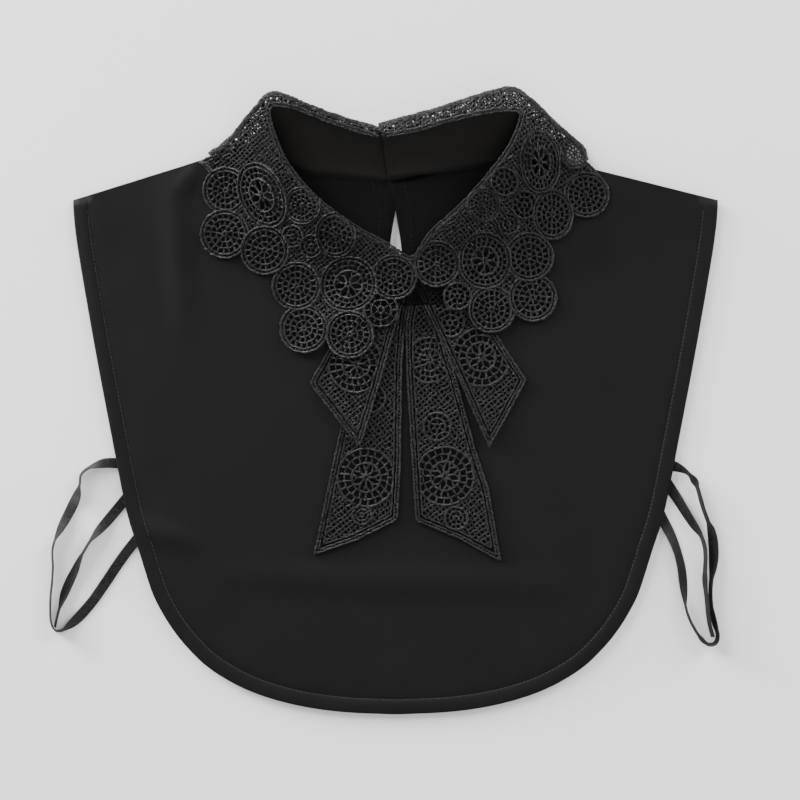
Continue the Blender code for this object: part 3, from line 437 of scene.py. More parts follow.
RIGHT_MEDALLIONS = [
    Medallion(WHEEL, 51.6, 81.5, 15.2, 16.1, 5.0),
    Medallion(WHEEL, 83.2, 138.0, 11.7, 17.3, 3.0),
    Medallion(ROSETTE, 23.8, 79.5, 12.8, 12.9, 0.0),
    Medallion(ROSETTE, 77.4, 83.8, 13.7, 13.7, 12.0),
    Medallion(ROSETTE, 91.1, 108.2, 11.4, 14.2, 0.0),
    Medallion(ROSETTE, 110.5, 119.8, 12.8, 12.8, 8.0),
    Medallion(ROSETTE, 79.5, 60.3, 13.6, 13.6, 20.0),
    Medallion(ROSETTE, 55.7, 53.4, 13.2, 13.2, 5.0),
    Medallion(BUD, 35.7, 60.9, 7.8, 7.6, 0.0),
    Medallion(BUD, 74.5, 113.7, 7.3, 8.0, 0.0),
    Medallion(BUD, 65.3, 102.9, 6.0, 6.0, 15.0),
    Medallion(ROSETTE, 50.5, 113.0, 9.2, 9.2, 0.0),
    Medallion(BUD, 62.4, 126.4, 7.6, 7.6, 0.0),
    Medallion(ROSETTE, 104.1, 144.1, 8.8, 8.8, 0.0),
]
RIGHT_OPENINGS = [Medallion(OPENING, 105.5, 144.5, 7.6, 7.6, 0.0)]
SHORT_LEFT_MEDALLIONS = [Medallion(STAR, -22.9, 21.2, 15.7, 15.7, 8.0)]
SHORT_RIGHT_MEDALLIONS = [
    Medallion(STAR, 49.6, 25.8, 16.8, 16.8, 15.0),
    Medallion(BUD, 31.6, 45.5, 8.1, 8.1, 0.0),
]
LONG_LEFT_MEDALLIONS = [
    Medallion(STAR, -17.1, -44.1, 16.8, 16.8, 0.0),
    Medallion(BUD, -14.0, 2.0, 8.0, 8.0, 0.0),
    Medallion(BUD, -19.4, -65.8, 5.6, 5.6, 0.0),
]
LONG_RIGHT_MEDALLIONS = [
    Medallion(STAR, 28.7, -43.2, 16.8, 16.8, 10.0),
    Medallion(STAR, 20.0, 24.1, 13.0, 13.0, 0.0),
    Medallion(BUD, 24.1, -14.5, 8.0, 8.0, 0.0),
    Medallion(BUD, 35.1, -67.6, 6.6, 6.6, 0.0),
]


# Paths in plan

def smooth(share):
    """0 to 1 with level ends."""
    share = min(1.0, max(0.0, share))
    return share * share * (3.0 - 2.0 * share)


def fall(share):
    """1 at 0, level at both ends, and 0 from 1 on."""
    return math.cos(math.pi / 2 * min(1.0, max(0.0, share))) ** 2


def bell(offset, width):
    """1 at 0, falling evenly to nearly 0 at twice the width."""
    return math.exp(-(offset / width) ** 2)


def through(points, steps):
    """A smooth curve through the points, with so many steps between neighbours."""
    points = [Vector(p) for p in points]
    ends = [2 * points[0] - points[1]] + points + [2 * points[-1] - points[-2]]
    curve = []
    for a, b, c, d in zip(ends, ends[1:], ends[2:], ends[3:]):
        for step in range(steps):
            t = step / steps
            curve.append(0.5 * (2 * b + (c - a) * t + (2 * a - 5 * b + 4 * c - d) * t * t
                                + (3 * b - a - 3 * c + d) * t ** 3))
    curve.append(points[-1])
    return curve


def even(path, pitch):
    """The path's points again, about one pitch apart."""
    path = [Vector(p) for p in path]
    lengths = [0.0]
    for a, b in zip(path, path[1:]):
        lengths.append(lengths[-1] + (b - a).length)
    count = max(1, round(lengths[-1] / pitch))
    result = []
    at = 0
    for k in range(count + 1):
        want = lengths[-1] * k / count
        while at < len(path) - 2 and lengths[at + 1] < want:
            at += 1
        span = lengths[at + 1] - lengths[at]
        result.append(path[at].lerp(path[at + 1], (want - lengths[at]) / span if span else 0.0))
    return result


def offset_path(path, gap):
    """A path moved to its left by a gap, in plan."""
    moved = []
    for k, point in enumerate(path):
        before = path[max(0, k - 1)]
        after = path[min(len(path) - 1, k + 1)]
        run = (after.xy - before.xy).normalized()
        moved.append(Vector((point.x - run.y * gap, point.y + run.x * gap)))
    return moved


def flat(path):
    """The path's points as pairs."""
    return [(p[0], p[1]) for p in path]


def with_length(path):
    """Points with their distance along the path as a third value."""
    far = 0.0
    result = []
    for k, point in enumerate(path):
        if k:
            far += math.dist(point[:2], path[k - 1][:2])
        result.append((point[0], point[1], far))
    return result


class Line:
    """A path in plan that tells how far from a place it passes, and where."""

    def __init__(self, points, closed=False):
        spots = [tuple(p) for p in points]
        if closed:
            spots.append(spots[0])
        spots = np.array(spots, dtype=float)
        self.starts = spots[:-1]
        self.runs = spots[1:] - spots[:-1]
        self.squares = np.maximum((self.runs[:, :2] ** 2).sum(axis=1), 1e-12)

    def nearest(self, x, y):
        """The distance to the path, and the path's own point there."""
        away = np.array((x, y)) - self.starts[:, :2]
        shares = np.clip((away * self.runs[:, :2]).sum(axis=1) / self.squares, 0.0, 1.0)
        spots = self.starts + self.runs * shares[:, None]
        gaps = np.hypot(spots[:, 0] - x, spots[:, 1] - y)
        best = int(gaps.argmin())
        return float(gaps[best]), spots[best]

    def gap(self, x, y):
        return self.nearest(x, y)[0]

    def holds(self, x, y):
        """Whether the closed path goes round a place."""
        low = self.starts[:, 1]
        high = low + self.runs[:, 1]
        crossed = (low > y) != (high > y)
        run = np.where(crossed, self.runs[:, 1], 1.0)
        at = self.starts[:, 0] + (y - low) / run * self.runs[:, 0]
        return bool(np.count_nonzero(crossed & (x < at)) % 2)


def outline_of(points):
    return Line(points, closed=True)


# The stand's two edges, as curves in space

def stand_curve(part):
    """A smooth curve through one edge of the stand, with the raise as a fourth value."""
    if part == "bottom":
        rows = [(r.bottom_x, r.bottom_y, 0.0, r.raised) for r in STAND]
    else:
        rows = [(r.top_x, r.top_y, r.top_z, r.raised) for r in STAND]
    return through(rows, STAND_STEPS)


STAND_BOTTOM = stand_curve("bottom")
STAND_TOP = stand_curve("top")
RIGHT_SHOULDER_AT = RIGHT_SHOULDER_ROW * STAND_STEPS
FRONT_AT = FRONT_ROW * STAND_STEPS
LEFT_SHOULDER_AT = LEFT_SHOULDER_ROW * STAND_STEPS
BACK_AT = BACK_ROW * STAND_STEPS
TOP_LOOP = [Vector((p[0], p[1], p[2] + LAP_RAISE * p[3])) for p in STAND_TOP[:BACK_AT + 1]]
TOP_LINE = Line(TOP_LOOP)
LONG_TAIL_LINES = [outline_of(LONG_LEFT_TAIL), outline_of(LONG_RIGHT_TAIL)]
SHORT_TAIL_LINES = [outline_of(SHORT_LEFT_TAIL), outline_of(SHORT_RIGHT_TAIL)]
RIDGE_LINES = [(ridge, Line([(ridge.x0, ridge.y0), (ridge.x1, ridge.y1)])) for ridge in RIDGES]


# Heights of the layers, as the frame has them

def lift(x, y):
    """How far the lace under the panels lifts them."""
    reach = math.hypot(x / LIFT_HALF_X, (y - LIFT_CENTRE_Y) / LIFT_HALF_Y)
    return LIFT * (1.0 - smooth((reach - LIFT_FULL) / (LIFT_NONE - LIFT_FULL)))


def back_height(x, y):
    return CLOTH_WALL / 2 + lift(x, y)


def crease(x, y):
    """The front panel's soft ridges."""
    height = 0.0
    for ridge, line in RIDGE_LINES:
        gap, point = line.nearest(x, y)
        along = math.dist(point, (ridge.x0, ridge.y0))
        length = math.hypot(ridge.x1 - ridge.x0, ridge.y1 - ridge.y0)
        swell = math.sin(math.pi * (RIDGE_END + (1.0 - 2.0 * RIDGE_END) * along / length))
        height = max(height, ridge.height * swell * fall(gap / ridge.half_width))
    return height


def front_height(x, y):
    return back_height(x, y) + PANEL_STEP + crease(x, y)


def cover(x, y, lines):
    """1 over the pieces and their margin, falling to 0 further out."""
    best = 0.0
    for line in lines:
        if line.holds(x, y):
            return 1.0
        best = max(best, 1.0 - smooth((line.gap(x, y) - TAIL_COVER_MARGIN) / TAIL_COVER_FALL))
    return best


def root_rise(x, y):
    """The tails' roots lie over the stand's foot at the centre front."""
    near = 1.0 - smooth((abs(x - ROOT_X) - ROOT_NEAR) / (ROOT_FAR - ROOT_NEAR))
    return ROOT_RISE * near * smooth((y - ROOT_LOW_Y) / (ROOT_HIGH_Y - ROOT_LOW_Y))


def long_tail_height(x, y):
    return front_height(x, y) + LACE_ON_CLOTH + root_rise(x, y)


def short_tail_height(x, y):
    return long_tail_height(x, y) + LACE_ON_LACE * cover(x, y, LONG_TAIL_LINES)


def leaf_height(x, y):
    """A leaf's visible side, from the stand's top edge down to the panel and the tails."""
    gap, edge = TOP_LINE.nearest(x, y)
    lie = long_tail_height(x, y)
    if y < TAIL_TOP_Y:
        lie += LACE_ON_LACE * (cover(x, y, LONG_TAIL_LINES) + cover(x, y, SHORT_TAIL_LINES))
    start = edge[2] + LEAF_RISE
    return lie + (start - lie) * fall(gap / LEAF_FALL)


# Meshes

def anticlockwise(outline):
    """An outline's points, turning to the left."""
    area = sum(a[0] * b[1] - b[0] * a[1] for a, b in zip(outline, outline[1:] + outline[:1]))
    return list(outline) if area > 0 else list(outline[::-1])


def grid(outline, pitch):
    """Points of a staggered grid inside an outline."""
    line = outline_of(outline)
    xs = [p[0] for p in outline]
    ys = [p[1] for p in outline]
    points = []
    row_pitch = pitch * math.sqrt(3) / 2
    for j in range(math.floor(min(ys) / row_pitch), math.ceil(max(ys) / row_pitch) + 1):
        for i in range(math.floor(min(xs) / pitch) - 1, math.ceil(max(xs) / pitch) + 1):
            x = (i + 0.5 * (j % 2)) * pitch
            y = j * row_pitch
            if line.holds(x, y) and line.gap(x, y) > pitch * KEEP_OFF:
                points.append((x, y))
    return points


def triangles(outline, inner):
    """Points and triangles of a flat sheet."""
    points = anticlockwise(outline)
    face = list(range(len(points)))
    flat_points = [Vector(p) for p in points + inner]
    found, _, tris, _, _, owners = delaunay_2d_cdt(flat_points, [], [face], 1, 1e-4, True)
    kept = [tri for tri, owner in zip(tris, owners) if owner == [0]]
    return [(p.x, p.y) for p in found], kept


def to_object(name, bm, material):
    """A mesh in millimetres as an object in metres, shaded smooth."""
    bmesh.ops.scale(bm, vec=(MM, MM, MM), verts=bm.verts)
    mesh = bpy.data.meshes.new(name)
    bm.to_mesh(mesh)
    bm.free()
    mesh.polygons.foreach_set("use_smooth", [True] * len(mesh.polygons))
    mesh.materials.append(material)
    obj = bpy.data.objects.new(name, mesh)
    bpy.context.scene.collection.objects.link(obj)
    return obj


def cloth(name, bm, wall, material):
    """A sheet of cloth with its wall's thickness."""
    obj = to_object(name, bm, material)
    thickness = obj.modifiers.new("wall", "SOLIDIFY")
    thickness.thickness = wall * MM
    thickness.offset = 0.0
    return obj


# Node trees

def socket(tree, label, kind, value=None, way="INPUT"):
    made = tree.interface.new_socket(label, in_out=way, socket_type=kind)
    if value is not None:
        made.default_value = value
    return made


def geometry_tree(name, sizes):
    """An empty Geometry Nodes tree with named sizes and a material as its inputs."""
    tree = bpy.data.node_groups.new(name, "GeometryNodeTree")
    socket(tree, "Geometry", "NodeSocketGeometry")
    for label, value in sizes:
        kind = "NodeSocketInt" if isinstance(value, int) else "NodeSocketFloat"
        socket(tree, label, kind, value)
    socket(tree, "Material", "NodeSocketMaterial")
    socket(tree, "Geometry", "NodeSocketGeometry", way="OUTPUT")
    return tree, tree.nodes.new("NodeGroupInput"), tree.nodes.new("NodeGroupOutput")


def finish_tree(tree, entry, end, geometry):
    """Realizes the instances, smooths them and gives them the material."""
    real = tree.nodes.new("GeometryNodeRealizeInstances")
    shade = tree.nodes.new("GeometryNodeSetShadeSmooth")
    finish = tree.nodes.new("GeometryNodeSetMaterial")
    tree.links.new(geometry, real.inputs["Geometry"])
    tree.links.new(real.outputs["Geometry"], shade.inputs["Geometry"])
    tree.links.new(shade.outputs["Geometry"], finish.inputs["Geometry"])
    tree.links.new(entry.outputs["Material"], finish.inputs["Material"])
    tree.links.new(finish.outputs["Geometry"], end.inputs["Geometry"])
    return tree


def named(tree, geometry, label, value):
    """Stores a number on each point under a name."""
    store = tree.nodes.new("GeometryNodeStoreNamedAttribute")
    store.data_type = "FLOAT"
    store.domain = "POINT"
    store.inputs["Name"].default_value = label
    tree.links.new(geometry, store.inputs["Geometry"])
    tree.links.new(value, store.inputs["Value"])
    return store.outputs["Geometry"]


def cord_tree():
    """Lace cords along paths, as thick as each path's radius says, knotted and uneven as guipure is."""
    tree, entry, end = geometry_tree("lace_cord", [
        ("Thickness", 1.0), ("Sides", THREAD_SIDES), ("Step", KNOT_STEP * MM),
        ("Unevenness", KNOT_SHIFT * MM), ("Thinnest", KNOT_THIN), ("Thickest", KNOT_THICK), ("Seed", KNOT_SEED)])
    nodes = tree.nodes
    links = tree.links
    steps = nodes.new("GeometryNodeResampleCurve")
    steps.mode = "LENGTH"
    shift = nodes.new("FunctionNodeRandomValue")
    shift.data_type = "FLOAT_VECTOR"
    shift.inputs["Min"].default_value = (-1.0, -1.0, -1.0)
    shift.inputs["Max"].default_value = (1.0, 1.0, 1.0)
    size_shift = nodes.new("ShaderNodeVectorMath")
    size_shift.operation = "SCALE"
    move = nodes.new("GeometryNodeSetPosition")
    knot = nodes.new("FunctionNodeRandomValue")
    knot.data_type = "FLOAT"
    along = nodes.new("GeometryNodeSplineParameter")
    round_share = nodes.new("GeometryNodeSplineParameter")
    profile = nodes.new("GeometryNodeCurvePrimitiveCircle")
    sweep = nodes.new("GeometryNodeCurveToMesh")
    width = nodes.new("GeometryNodeInputRadius")
    links.new(entry.outputs["Geometry"], steps.inputs["Curve"])
    links.new(entry.outputs["Step"], steps.inputs["Length"])
    links.new(entry.outputs["Seed"], shift.inputs["Seed"])
    links.new(shift.outputs["Value"], size_shift.inputs[0])
    links.new(entry.outputs["Unevenness"], size_shift.inputs["Scale"])
    links.new(steps.outputs["Curve"], move.inputs["Geometry"])
    links.new(size_shift.outputs["Vector"], move.inputs["Offset"])
    links.new(entry.outputs["Seed"], knot.inputs["Seed"])
    for item in knot.inputs:
        if item.enabled and item.name == "Min":
            links.new(entry.outputs["Thinnest"], item)
        if item.enabled and item.name == "Max":
            links.new(entry.outputs["Thickest"], item)
    swell = [o for o in knot.outputs if o.enabled][0]
    links.new(entry.outputs["Sides"], profile.inputs["Resolution"])
    links.new(entry.outputs["Thickness"], profile.inputs["Radius"])
    path = named(tree, move.outputs["Geometry"], "along", along.outputs["Length"])
    outline = named(tree, profile.outputs["Curve"], "around", round_share.outputs["Factor"])
    links.new(path, sweep.inputs["Curve"])
    links.new(outline, sweep.inputs["Profile Curve"])
    links.new(sum_node(nodes, links, "MULTIPLY", width.outputs["Radius"], swell), sweep.inputs["Scale"])
    sweep.inputs["Fill Caps"].default_value = True
    return finish_tree(tree, entry, end, sweep.outputs["Mesh"])


def stitch_tree():
    """A stitch of thread at each step along a sewing line."""
    tree, entry, end = geometry_tree("sewing_line", [
        ("Step", (STITCH_LENGTH + STITCH_GAP) * MM), ("Half length", STITCH_LENGTH / 2 * MM),
        ("Thread", STITCH_THREAD * MM)])
    nodes = tree.nodes
    links = tree.links
    steps = nodes.new("GeometryNodeResampleCurve")
    steps.mode = "LENGTH"
    tangent = nodes.new("GeometryNodeInputTangent")
    turn = nodes.new("FunctionNodeAlignRotationToVector")
    turn.axis = "X"
    bead = nodes.new("GeometryNodeMeshUVSphere")
    bead.inputs["Segments"].default_value = STITCH_SIDES
    bead.inputs["Rings"].default_value = STITCH_RINGS
    bead.inputs["Radius"].default_value = 1.0
    size = nodes.new("ShaderNodeCombineXYZ")
    place = nodes.new("GeometryNodeInstanceOnPoints")
    links.new(entry.outputs["Geometry"], steps.inputs["Curve"])
    links.new(entry.outputs["Step"], steps.inputs["Length"])
    links.new(tangent.outputs["Tangent"], turn.inputs["Vector"])
    links.new(entry.outputs["Half length"], size.inputs["X"])
    links.new(entry.outputs["Thread"], size.inputs["Y"])
    links.new(entry.outputs["Thread"], size.inputs["Z"])
    links.new(steps.outputs["Curve"], place.inputs["Points"])
    links.new(bead.outputs["Mesh"], place.inputs["Instance"])
    links.new(turn.outputs["Rotation"], place.inputs["Rotation"])
    links.new(size.outputs["Vector"], place.inputs["Scale"])
    return finish_tree(tree, entry, end, place.outputs["Instances"])


def grown(name, paths, tree, sizes, material):
    """Paths in millimetres, turned into one plain mesh by a Geometry Nodes tree.

    Each path is (points in space, thickness, closed)."""
    curve = bpy.data.curves.new(name + "_paths", "CURVE")
    curve.dimensions = "3D"
    for points, thickness, closed in paths:
        spline = curve.splines.new("POLY")
        spline.points.add(len(points) - 1)
        spline.points.foreach_set("co", [c for p in points for c in (p[0] * MM, p[1] * MM, p[2] * MM, 1.0)])
        spline.points.foreach_set("radius", [thickness * MM] * len(points))
        spline.use_cyclic_u = closed
    maker = bpy.data.objects.new(name + "_maker", curve)
    bpy.context.scene.collection.objects.link(maker)
    growth = maker.modifiers.new("growth", "NODES")
    growth.node_group = tree
    for item in tree.interface.items_tree:
        if item.in_out == "INPUT" and item.name in sizes:
            growth[item.identifier] = sizes[item.name]
        if item.in_out == "INPUT" and item.name == "Material":
            growth[item.identifier] = material
    ready = maker.evaluated_get(bpy.context.evaluated_depsgraph_get())
    mesh = bpy.data.meshes.new_from_object(ready)
    mesh.name = name
    bpy.data.objects.remove(maker, do_unlink=True)
    bpy.data.curves.remove(curve)
    obj = bpy.data.objects.new(name, mesh)
    bpy.context.scene.collection.objects.link(obj)
    return obj


def shader_group(name, inputs, outputs):
    """An empty shader node group with named inputs and outputs."""
    group = bpy.data.node_groups.new(name, "ShaderNodeTree")
    for label, kind, value in inputs:
        socket(group, label, kind, value)
    for label, kind in outputs:
        socket(group, label, kind, way="OUTPUT")
    return group, group.nodes.new("NodeGroupInput"), group.nodes.new("NodeGroupOutput")


def sum_node(nodes, links, operation, one, two=None):
    """A Math node; its inputs are sockets or numbers."""
    node = nodes.new("ShaderNodeMath")
    node.operation = operation
    for index, value in enumerate((one, two)):
        if value is None:
            continue
        if isinstance(value, (int, float)):
            node.inputs[index].default_value = value
        else:
            links.new(value, node.inputs[index])
    return node.outputs["Value"]


def weave_group():
    """Plain weave: warp and weft crossing at a pitch, with uneven yarn."""
    group, entry, end = shader_group(
        "plain_weave", [("Vector", "NodeSocketVector", None), ("Yarns per metre", "NodeSocketFloat", 2200.0)],
        [("Height", "NodeSocketFloat"), ("Fleck", "NodeSocketFloat")])
    nodes = group.nodes
    links = group.links
    split = nodes.new("ShaderNodeSeparateXYZ")
    links.new(entry.outputs["Vector"], split.inputs["Vector"])
    turns = sum_node(nodes, links, "MULTIPLY", entry.outputs["Yarns per metre"], math.pi)
    across = sum_node(nodes, links, "SINE", sum_node(nodes, links, "MULTIPLY", split.outputs["X"], turns))
    down = sum_node(nodes, links, "SINE", sum_node(nodes, links, "MULTIPLY", split.outputs["Y"], turns))
    cross = sum_node(nodes, links, "MULTIPLY", across, down)
    fibre = nodes.new("ShaderNodeTexNoise")
    fibre.inputs["Detail"].default_value = 3.0
    links.new(entry.outputs["Vector"], fibre.inputs["Vector"])
    links.new(sum_node(nodes, links, "MULTIPLY", entry.outputs["Yarns per metre"], 0.6), fibre.inputs["Scale"])
    links.new(sum_node(nodes, links, "ADD", cross, fibre.outputs["Fac"]), end.inputs["Height"])
    links.new(fibre.outputs["Fac"], end.inputs["Fleck"])
    return group


def twist_group():
    """The plies of a twisted thread, from its length along and its share around."""
    group, entry, end = shader_group(
        "twisted_plies",
        [("Along", "NodeSocketFloat", 0.0), ("Around", "NodeSocketFloat", 0.0),
         ("Turns per metre", "NodeSocketFloat", 420.0), ("Plies", "NodeSocketFloat", 3.0)],
        [("Height", "NodeSocketFloat")])
    nodes = group.nodes
    links = group.links
    run = sum_node(nodes, links, "MULTIPLY", entry.outputs["Along"], entry.outputs["Turns per metre"])
    turn = sum_node(nodes, links, "MULTIPLY", sum_node(nodes, links, "ADD", run, entry.outputs["Around"]),
                    entry.outputs["Plies"])
    wave = sum_node(nodes, links, "SINE", sum_node(nodes, links, "MULTIPLY", turn, math.pi))
    links.new(sum_node(nodes, links, "ABSOLUTE", wave), end.inputs["Height"])
    return group


def tone_group():
    """Colour that drifts between two tones at a scale, as dye and lint do."""
    group, entry, end = shader_group(
        "uneven_dye",
        [("Vector", "NodeSocketVector", None), ("Scale", "NodeSocketFloat", 60.0),
         ("Contrast", "NodeSocketFloat", 1.0),
         ("Deep", "NodeSocketColor", (0.01, 0.01, 0.01, 1.0)), ("Pale", "NodeSocketColor", (0.02, 0.02, 0.02, 1.0))],
        [("Color", "NodeSocketColor"), ("Drift", "NodeSocketFloat")])
    nodes = group.nodes
    links = group.links
    drift = nodes.new("ShaderNodeTexNoise")
    drift.inputs["Detail"].default_value = 5.0
    links.new(entry.outputs["Vector"], drift.inputs["Vector"])
    links.new(entry.outputs["Scale"], drift.inputs["Scale"])
    apart = sum_node(nodes, links, "SUBTRACT", drift.outputs["Fac"], 0.5)
    wide = sum_node(nodes, links, "MULTIPLY", apart, entry.outputs["Contrast"])
    level = sum_node(nodes, links, "ADD", wide, 0.5)
    level.node.use_clamp = True
    blend = nodes.new("ShaderNodeMix")
    blend.data_type = "RGBA"
    links.new(level, blend.inputs["Factor"])
    for item in blend.inputs:
        if item.enabled and item.type == "RGBA" and item.name == "A":
            links.new(entry.outputs["Deep"], item)
        if item.enabled and item.type == "RGBA" and item.name == "B":
            links.new(entry.outputs["Pale"], item)
    links.new([o for o in blend.outputs if o.enabled][0], end.inputs["Color"])
    links.new(level, end.inputs["Drift"])
    return group


# Finishes

WEAVE = weave_group()
TWIST = twist_group()
TONE = tone_group()


def new_finish(name, roughness, sheen=0.0, gloss=0.5):
    """A material with a Principled shader, and the shader's node tree."""
    mat = bpy.data.materials.new(name)
    mat.use_nodes = True
    nodes = mat.node_tree.nodes
    shader = nodes["Principled BSDF"]
    shader.inputs["Roughness"].default_value = roughness
    shader.inputs["Sheen Weight"].default_value = sheen
    shader.inputs["Sheen Roughness"].default_value = 0.4
    shader.inputs["Specular IOR Level"].default_value = gloss
    return mat, nodes, mat.node_tree.links, shader


def group_node(nodes, group, **values):
    """A node group in a material, with its own values; underscores stand for spaces."""
    node = nodes.new("ShaderNodeGroup")
    node.node_tree = group
    for label, value in values.items():
        node.inputs[label.replace("_", " ")].default_value = value
    return node


def bump(nodes, links, shader, height, depth, after=None):
    """A bump of a real depth in millimetres; another bump may come first."""
    node = nodes.new("ShaderNodeBump")
    node.inputs["Distance"].default_value = depth * MM
    links.new(height, node.inputs["Height"])
    if after:
        links.new(after.outputs["Normal"], node.inputs["Normal"])
    links.new(node.outputs["Normal"], shader.inputs["Normal"])
    return node


def spread(nodes, links, value, low, high):
    """A mask's 0 to 1 as a range of roughness."""
    node = nodes.new("ShaderNodeMapRange")
    node.inputs["To Min"].default_value = low
    node.inputs["To Max"].default_value = high
    links.new(value, node.inputs["Value"])
    return node.outputs["Result"]


def woven_finish(name, deep, pale, yarns, depth, rough, dull, gloss=CLOTH_GLOSS):
    """Black woven cloth: yarns, uneven dye and slight lint."""
    mat, nodes, links, shader = new_finish(name, rough, SHEEN * gloss / CLOTH_GLOSS, gloss)
    place = nodes.new("ShaderNodeTexCoord").outputs["Object"]
    tone = group_node(nodes, TONE, Scale=DYE_SCALE, Deep=deep, Pale=pale)
    weave = group_node(nodes, WEAVE, Yarns_per_metre=yarns)
    links.new(place, tone.inputs["Vector"])
    links.new(place, weave.inputs["Vector"])
    links.new(tone.outputs["Color"], shader.inputs["Base Color"])
    links.new(spread(nodes, links, tone.outputs["Drift"], rough, dull), shader.inputs["Roughness"])
    bump(nodes, links, shader, weave.outputs["Height"], depth)
    return mat


def thread_finish(name, deep, pale, rough, dull, turns, plies, depth, gloss=THREAD_GLOSS,
                  grain=THREAD_GRAIN):
    """Lustrous twisted thread, mapped by its length along and its share around."""
    mat, nodes, links, shader = new_finish(name, rough, SHEEN, gloss)
    place = nodes.new("ShaderNodeTexCoord").outputs["Object"]
    tone = group_node(nodes, TONE, Scale=grain, Contrast=GRAIN_CONTRAST, Deep=deep, Pale=pale)
    links.new(place, tone.inputs["Vector"])
    twist = group_node(nodes, TWIST, Turns_per_metre=turns, Plies=plies)
    for label, target in (("along", "Along"), ("around", "Around")):
        attribute = nodes.new("ShaderNodeAttribute")
        attribute.attribute_name = label
        links.new(attribute.outputs["Fac"], twist.inputs[target])
    links.new(tone.outputs["Color"], shader.inputs["Base Color"])
    links.new(spread(nodes, links, tone.outputs["Drift"], rough, dull), shader.inputs["Roughness"])
    bump(nodes, links, shader, twist.outputs["Height"], depth)
    return mat


def plain_finish(name, deep, pale, scale, rough, dull, depth):
    """A smooth moulded or painted surface with slight unevenness."""
    mat, nodes, links, shader = new_finish(name, rough)
    place = nodes.new("ShaderNodeTexCoord").outputs["Object"]
    tone = group_node(nodes, TONE, Scale=scale, Deep=deep, Pale=pale)
    links.new(place, tone.inputs["Vector"])
    links.new(tone.outputs["Color"], shader.inputs["Base Color"])
    links.new(spread(nodes, links, tone.outputs["Drift"], rough, dull), shader.inputs["Roughness"])
    bump(nodes, links, shader, tone.outputs["Drift"], depth)
    return mat


def grey(level):
    """A neutral linear colour; black cloth is very slightly warm."""
    return (level * 1.02, level * 0.99, level, 1.0)


def brownish(level):
    """A dark grey with a little brown, as interfaced black cloth has."""
    return (level * 1.06, level, level * 0.88, 1.0)


SATIN = woven_finish("black_satin_cloth", grey(0.004), grey(0.0057), 2400.0, 0.05, 0.55, 0.7)
# The back panel's finish is darker and duller than the front's: painted shade for the shadow the stand casts inside
# the neckline
BACK_CLOTH_PAINTED_SHADE = woven_finish("black_back_cloth_painted_shade", grey(0.0028), grey(0.0038), 2400.0, 0.05, 0.6, 0.75, gloss=0.07)
# The stand's finish is brownish, as its interfaced cloth is, and much lighter than the body cloth: painted light that
# makes up for the shade its inner face falls in
STAND_CLOTH_PAINTED_LIGHT = woven_finish("black_stand_cloth_painted_light", brownish(0.0125), brownish(0.018), 1900.0, 0.07, 0.66, 0.8)
GUIPURE = thread_finish("black_guipure_thread", grey(0.003), grey(0.0175), 0.3, 0.48, 420.0, 3.0, 0.24)
# A darker, duller copy of the guipure thread: painted shade for the tails' roots under the leaves
ROOT_PAINTED_SHADE_GUIPURE = thread_finish("black_guipure_root_painted_shade", grey(0.0015), grey(0.0035), 0.45, 0.6, 420.0, 3.0, 0.2, gloss=0.1)
UNDER_GUIPURE = thread_finish("black_guipure_back", grey(0.005), grey(0.01), 0.45, 0.6, 420.0, 3.0, 0.1)
SEWING = thread_finish("black_sewing_thread", grey(0.003), grey(0.005), 0.4, 0.55, 900.0, 2.0, 0.05)
SEAM = woven_finish("black_seam_roll", grey(0.0045), grey(0.007), 1900.0, 0.07, 0.62, 0.78)
BRAID = thread_finish("black_elastic_braid", grey(0.0005), grey(0.02), 0.36, 0.66, 450.0, 2.0, 0.35, gloss=0.2,
                      grain=BRAID_GRAIN)
# The hem thread is lighter than the other sewing thread: a painted highlight along the hem's stitch line
HEM_THREAD_PAINTED_HIGHLIGHT = thread_finish("hem_thread_painted_highlight", grey(0.013), grey(0.021), 0.45, 0.6, 900.0, 2.0, 0.05)
HORN = plain_finish("black_button_plastic", grey(0.008), grey(0.014), 90.0, 0.22, 0.34, 0.02)
FLOOR = plain_finish("pale_floor", (0.93, 0.93, 0.93, 1.0), (0.95, 0.95, 0.95, 1.0), 3.0, 0.8, 0.9, 0.01)


# Camera, lights and floor

def make_camera():
    lens = bpy.data.cameras.new("overhead_camera")
    lens.sensor_width = SENSOR
    lens.lens = SENSOR * (CAMERA_HEIGHT - CAMERA_FOCUS) / PICTURE_WIDTH
    lens.clip_end = 10.0
    camera = bpy.data.objects.new("overhead_camera", lens)
    camera.location = (CAMERA_X * MM, CAMERA_Y * MM, CAMERA_HEIGHT * MM)
    bpy.context.scene.collection.objects.link(camera)
    bpy.context.scene.camera = camera


def make_light(name, place, size, power):
    """A soft square light that faces the collar."""
    lamp = bpy.data.lights.new(name, "AREA")
    lamp.size = size
    lamp.energy = power
    light = bpy.data.objects.new(name, lamp)
    light.location = place
    light.rotation_euler = (-Vector(place)).to_track_quat("-Z", "Y").to_euler()
    light.visible_camera = False
    bpy.context.scene.collection.objects.link(light)


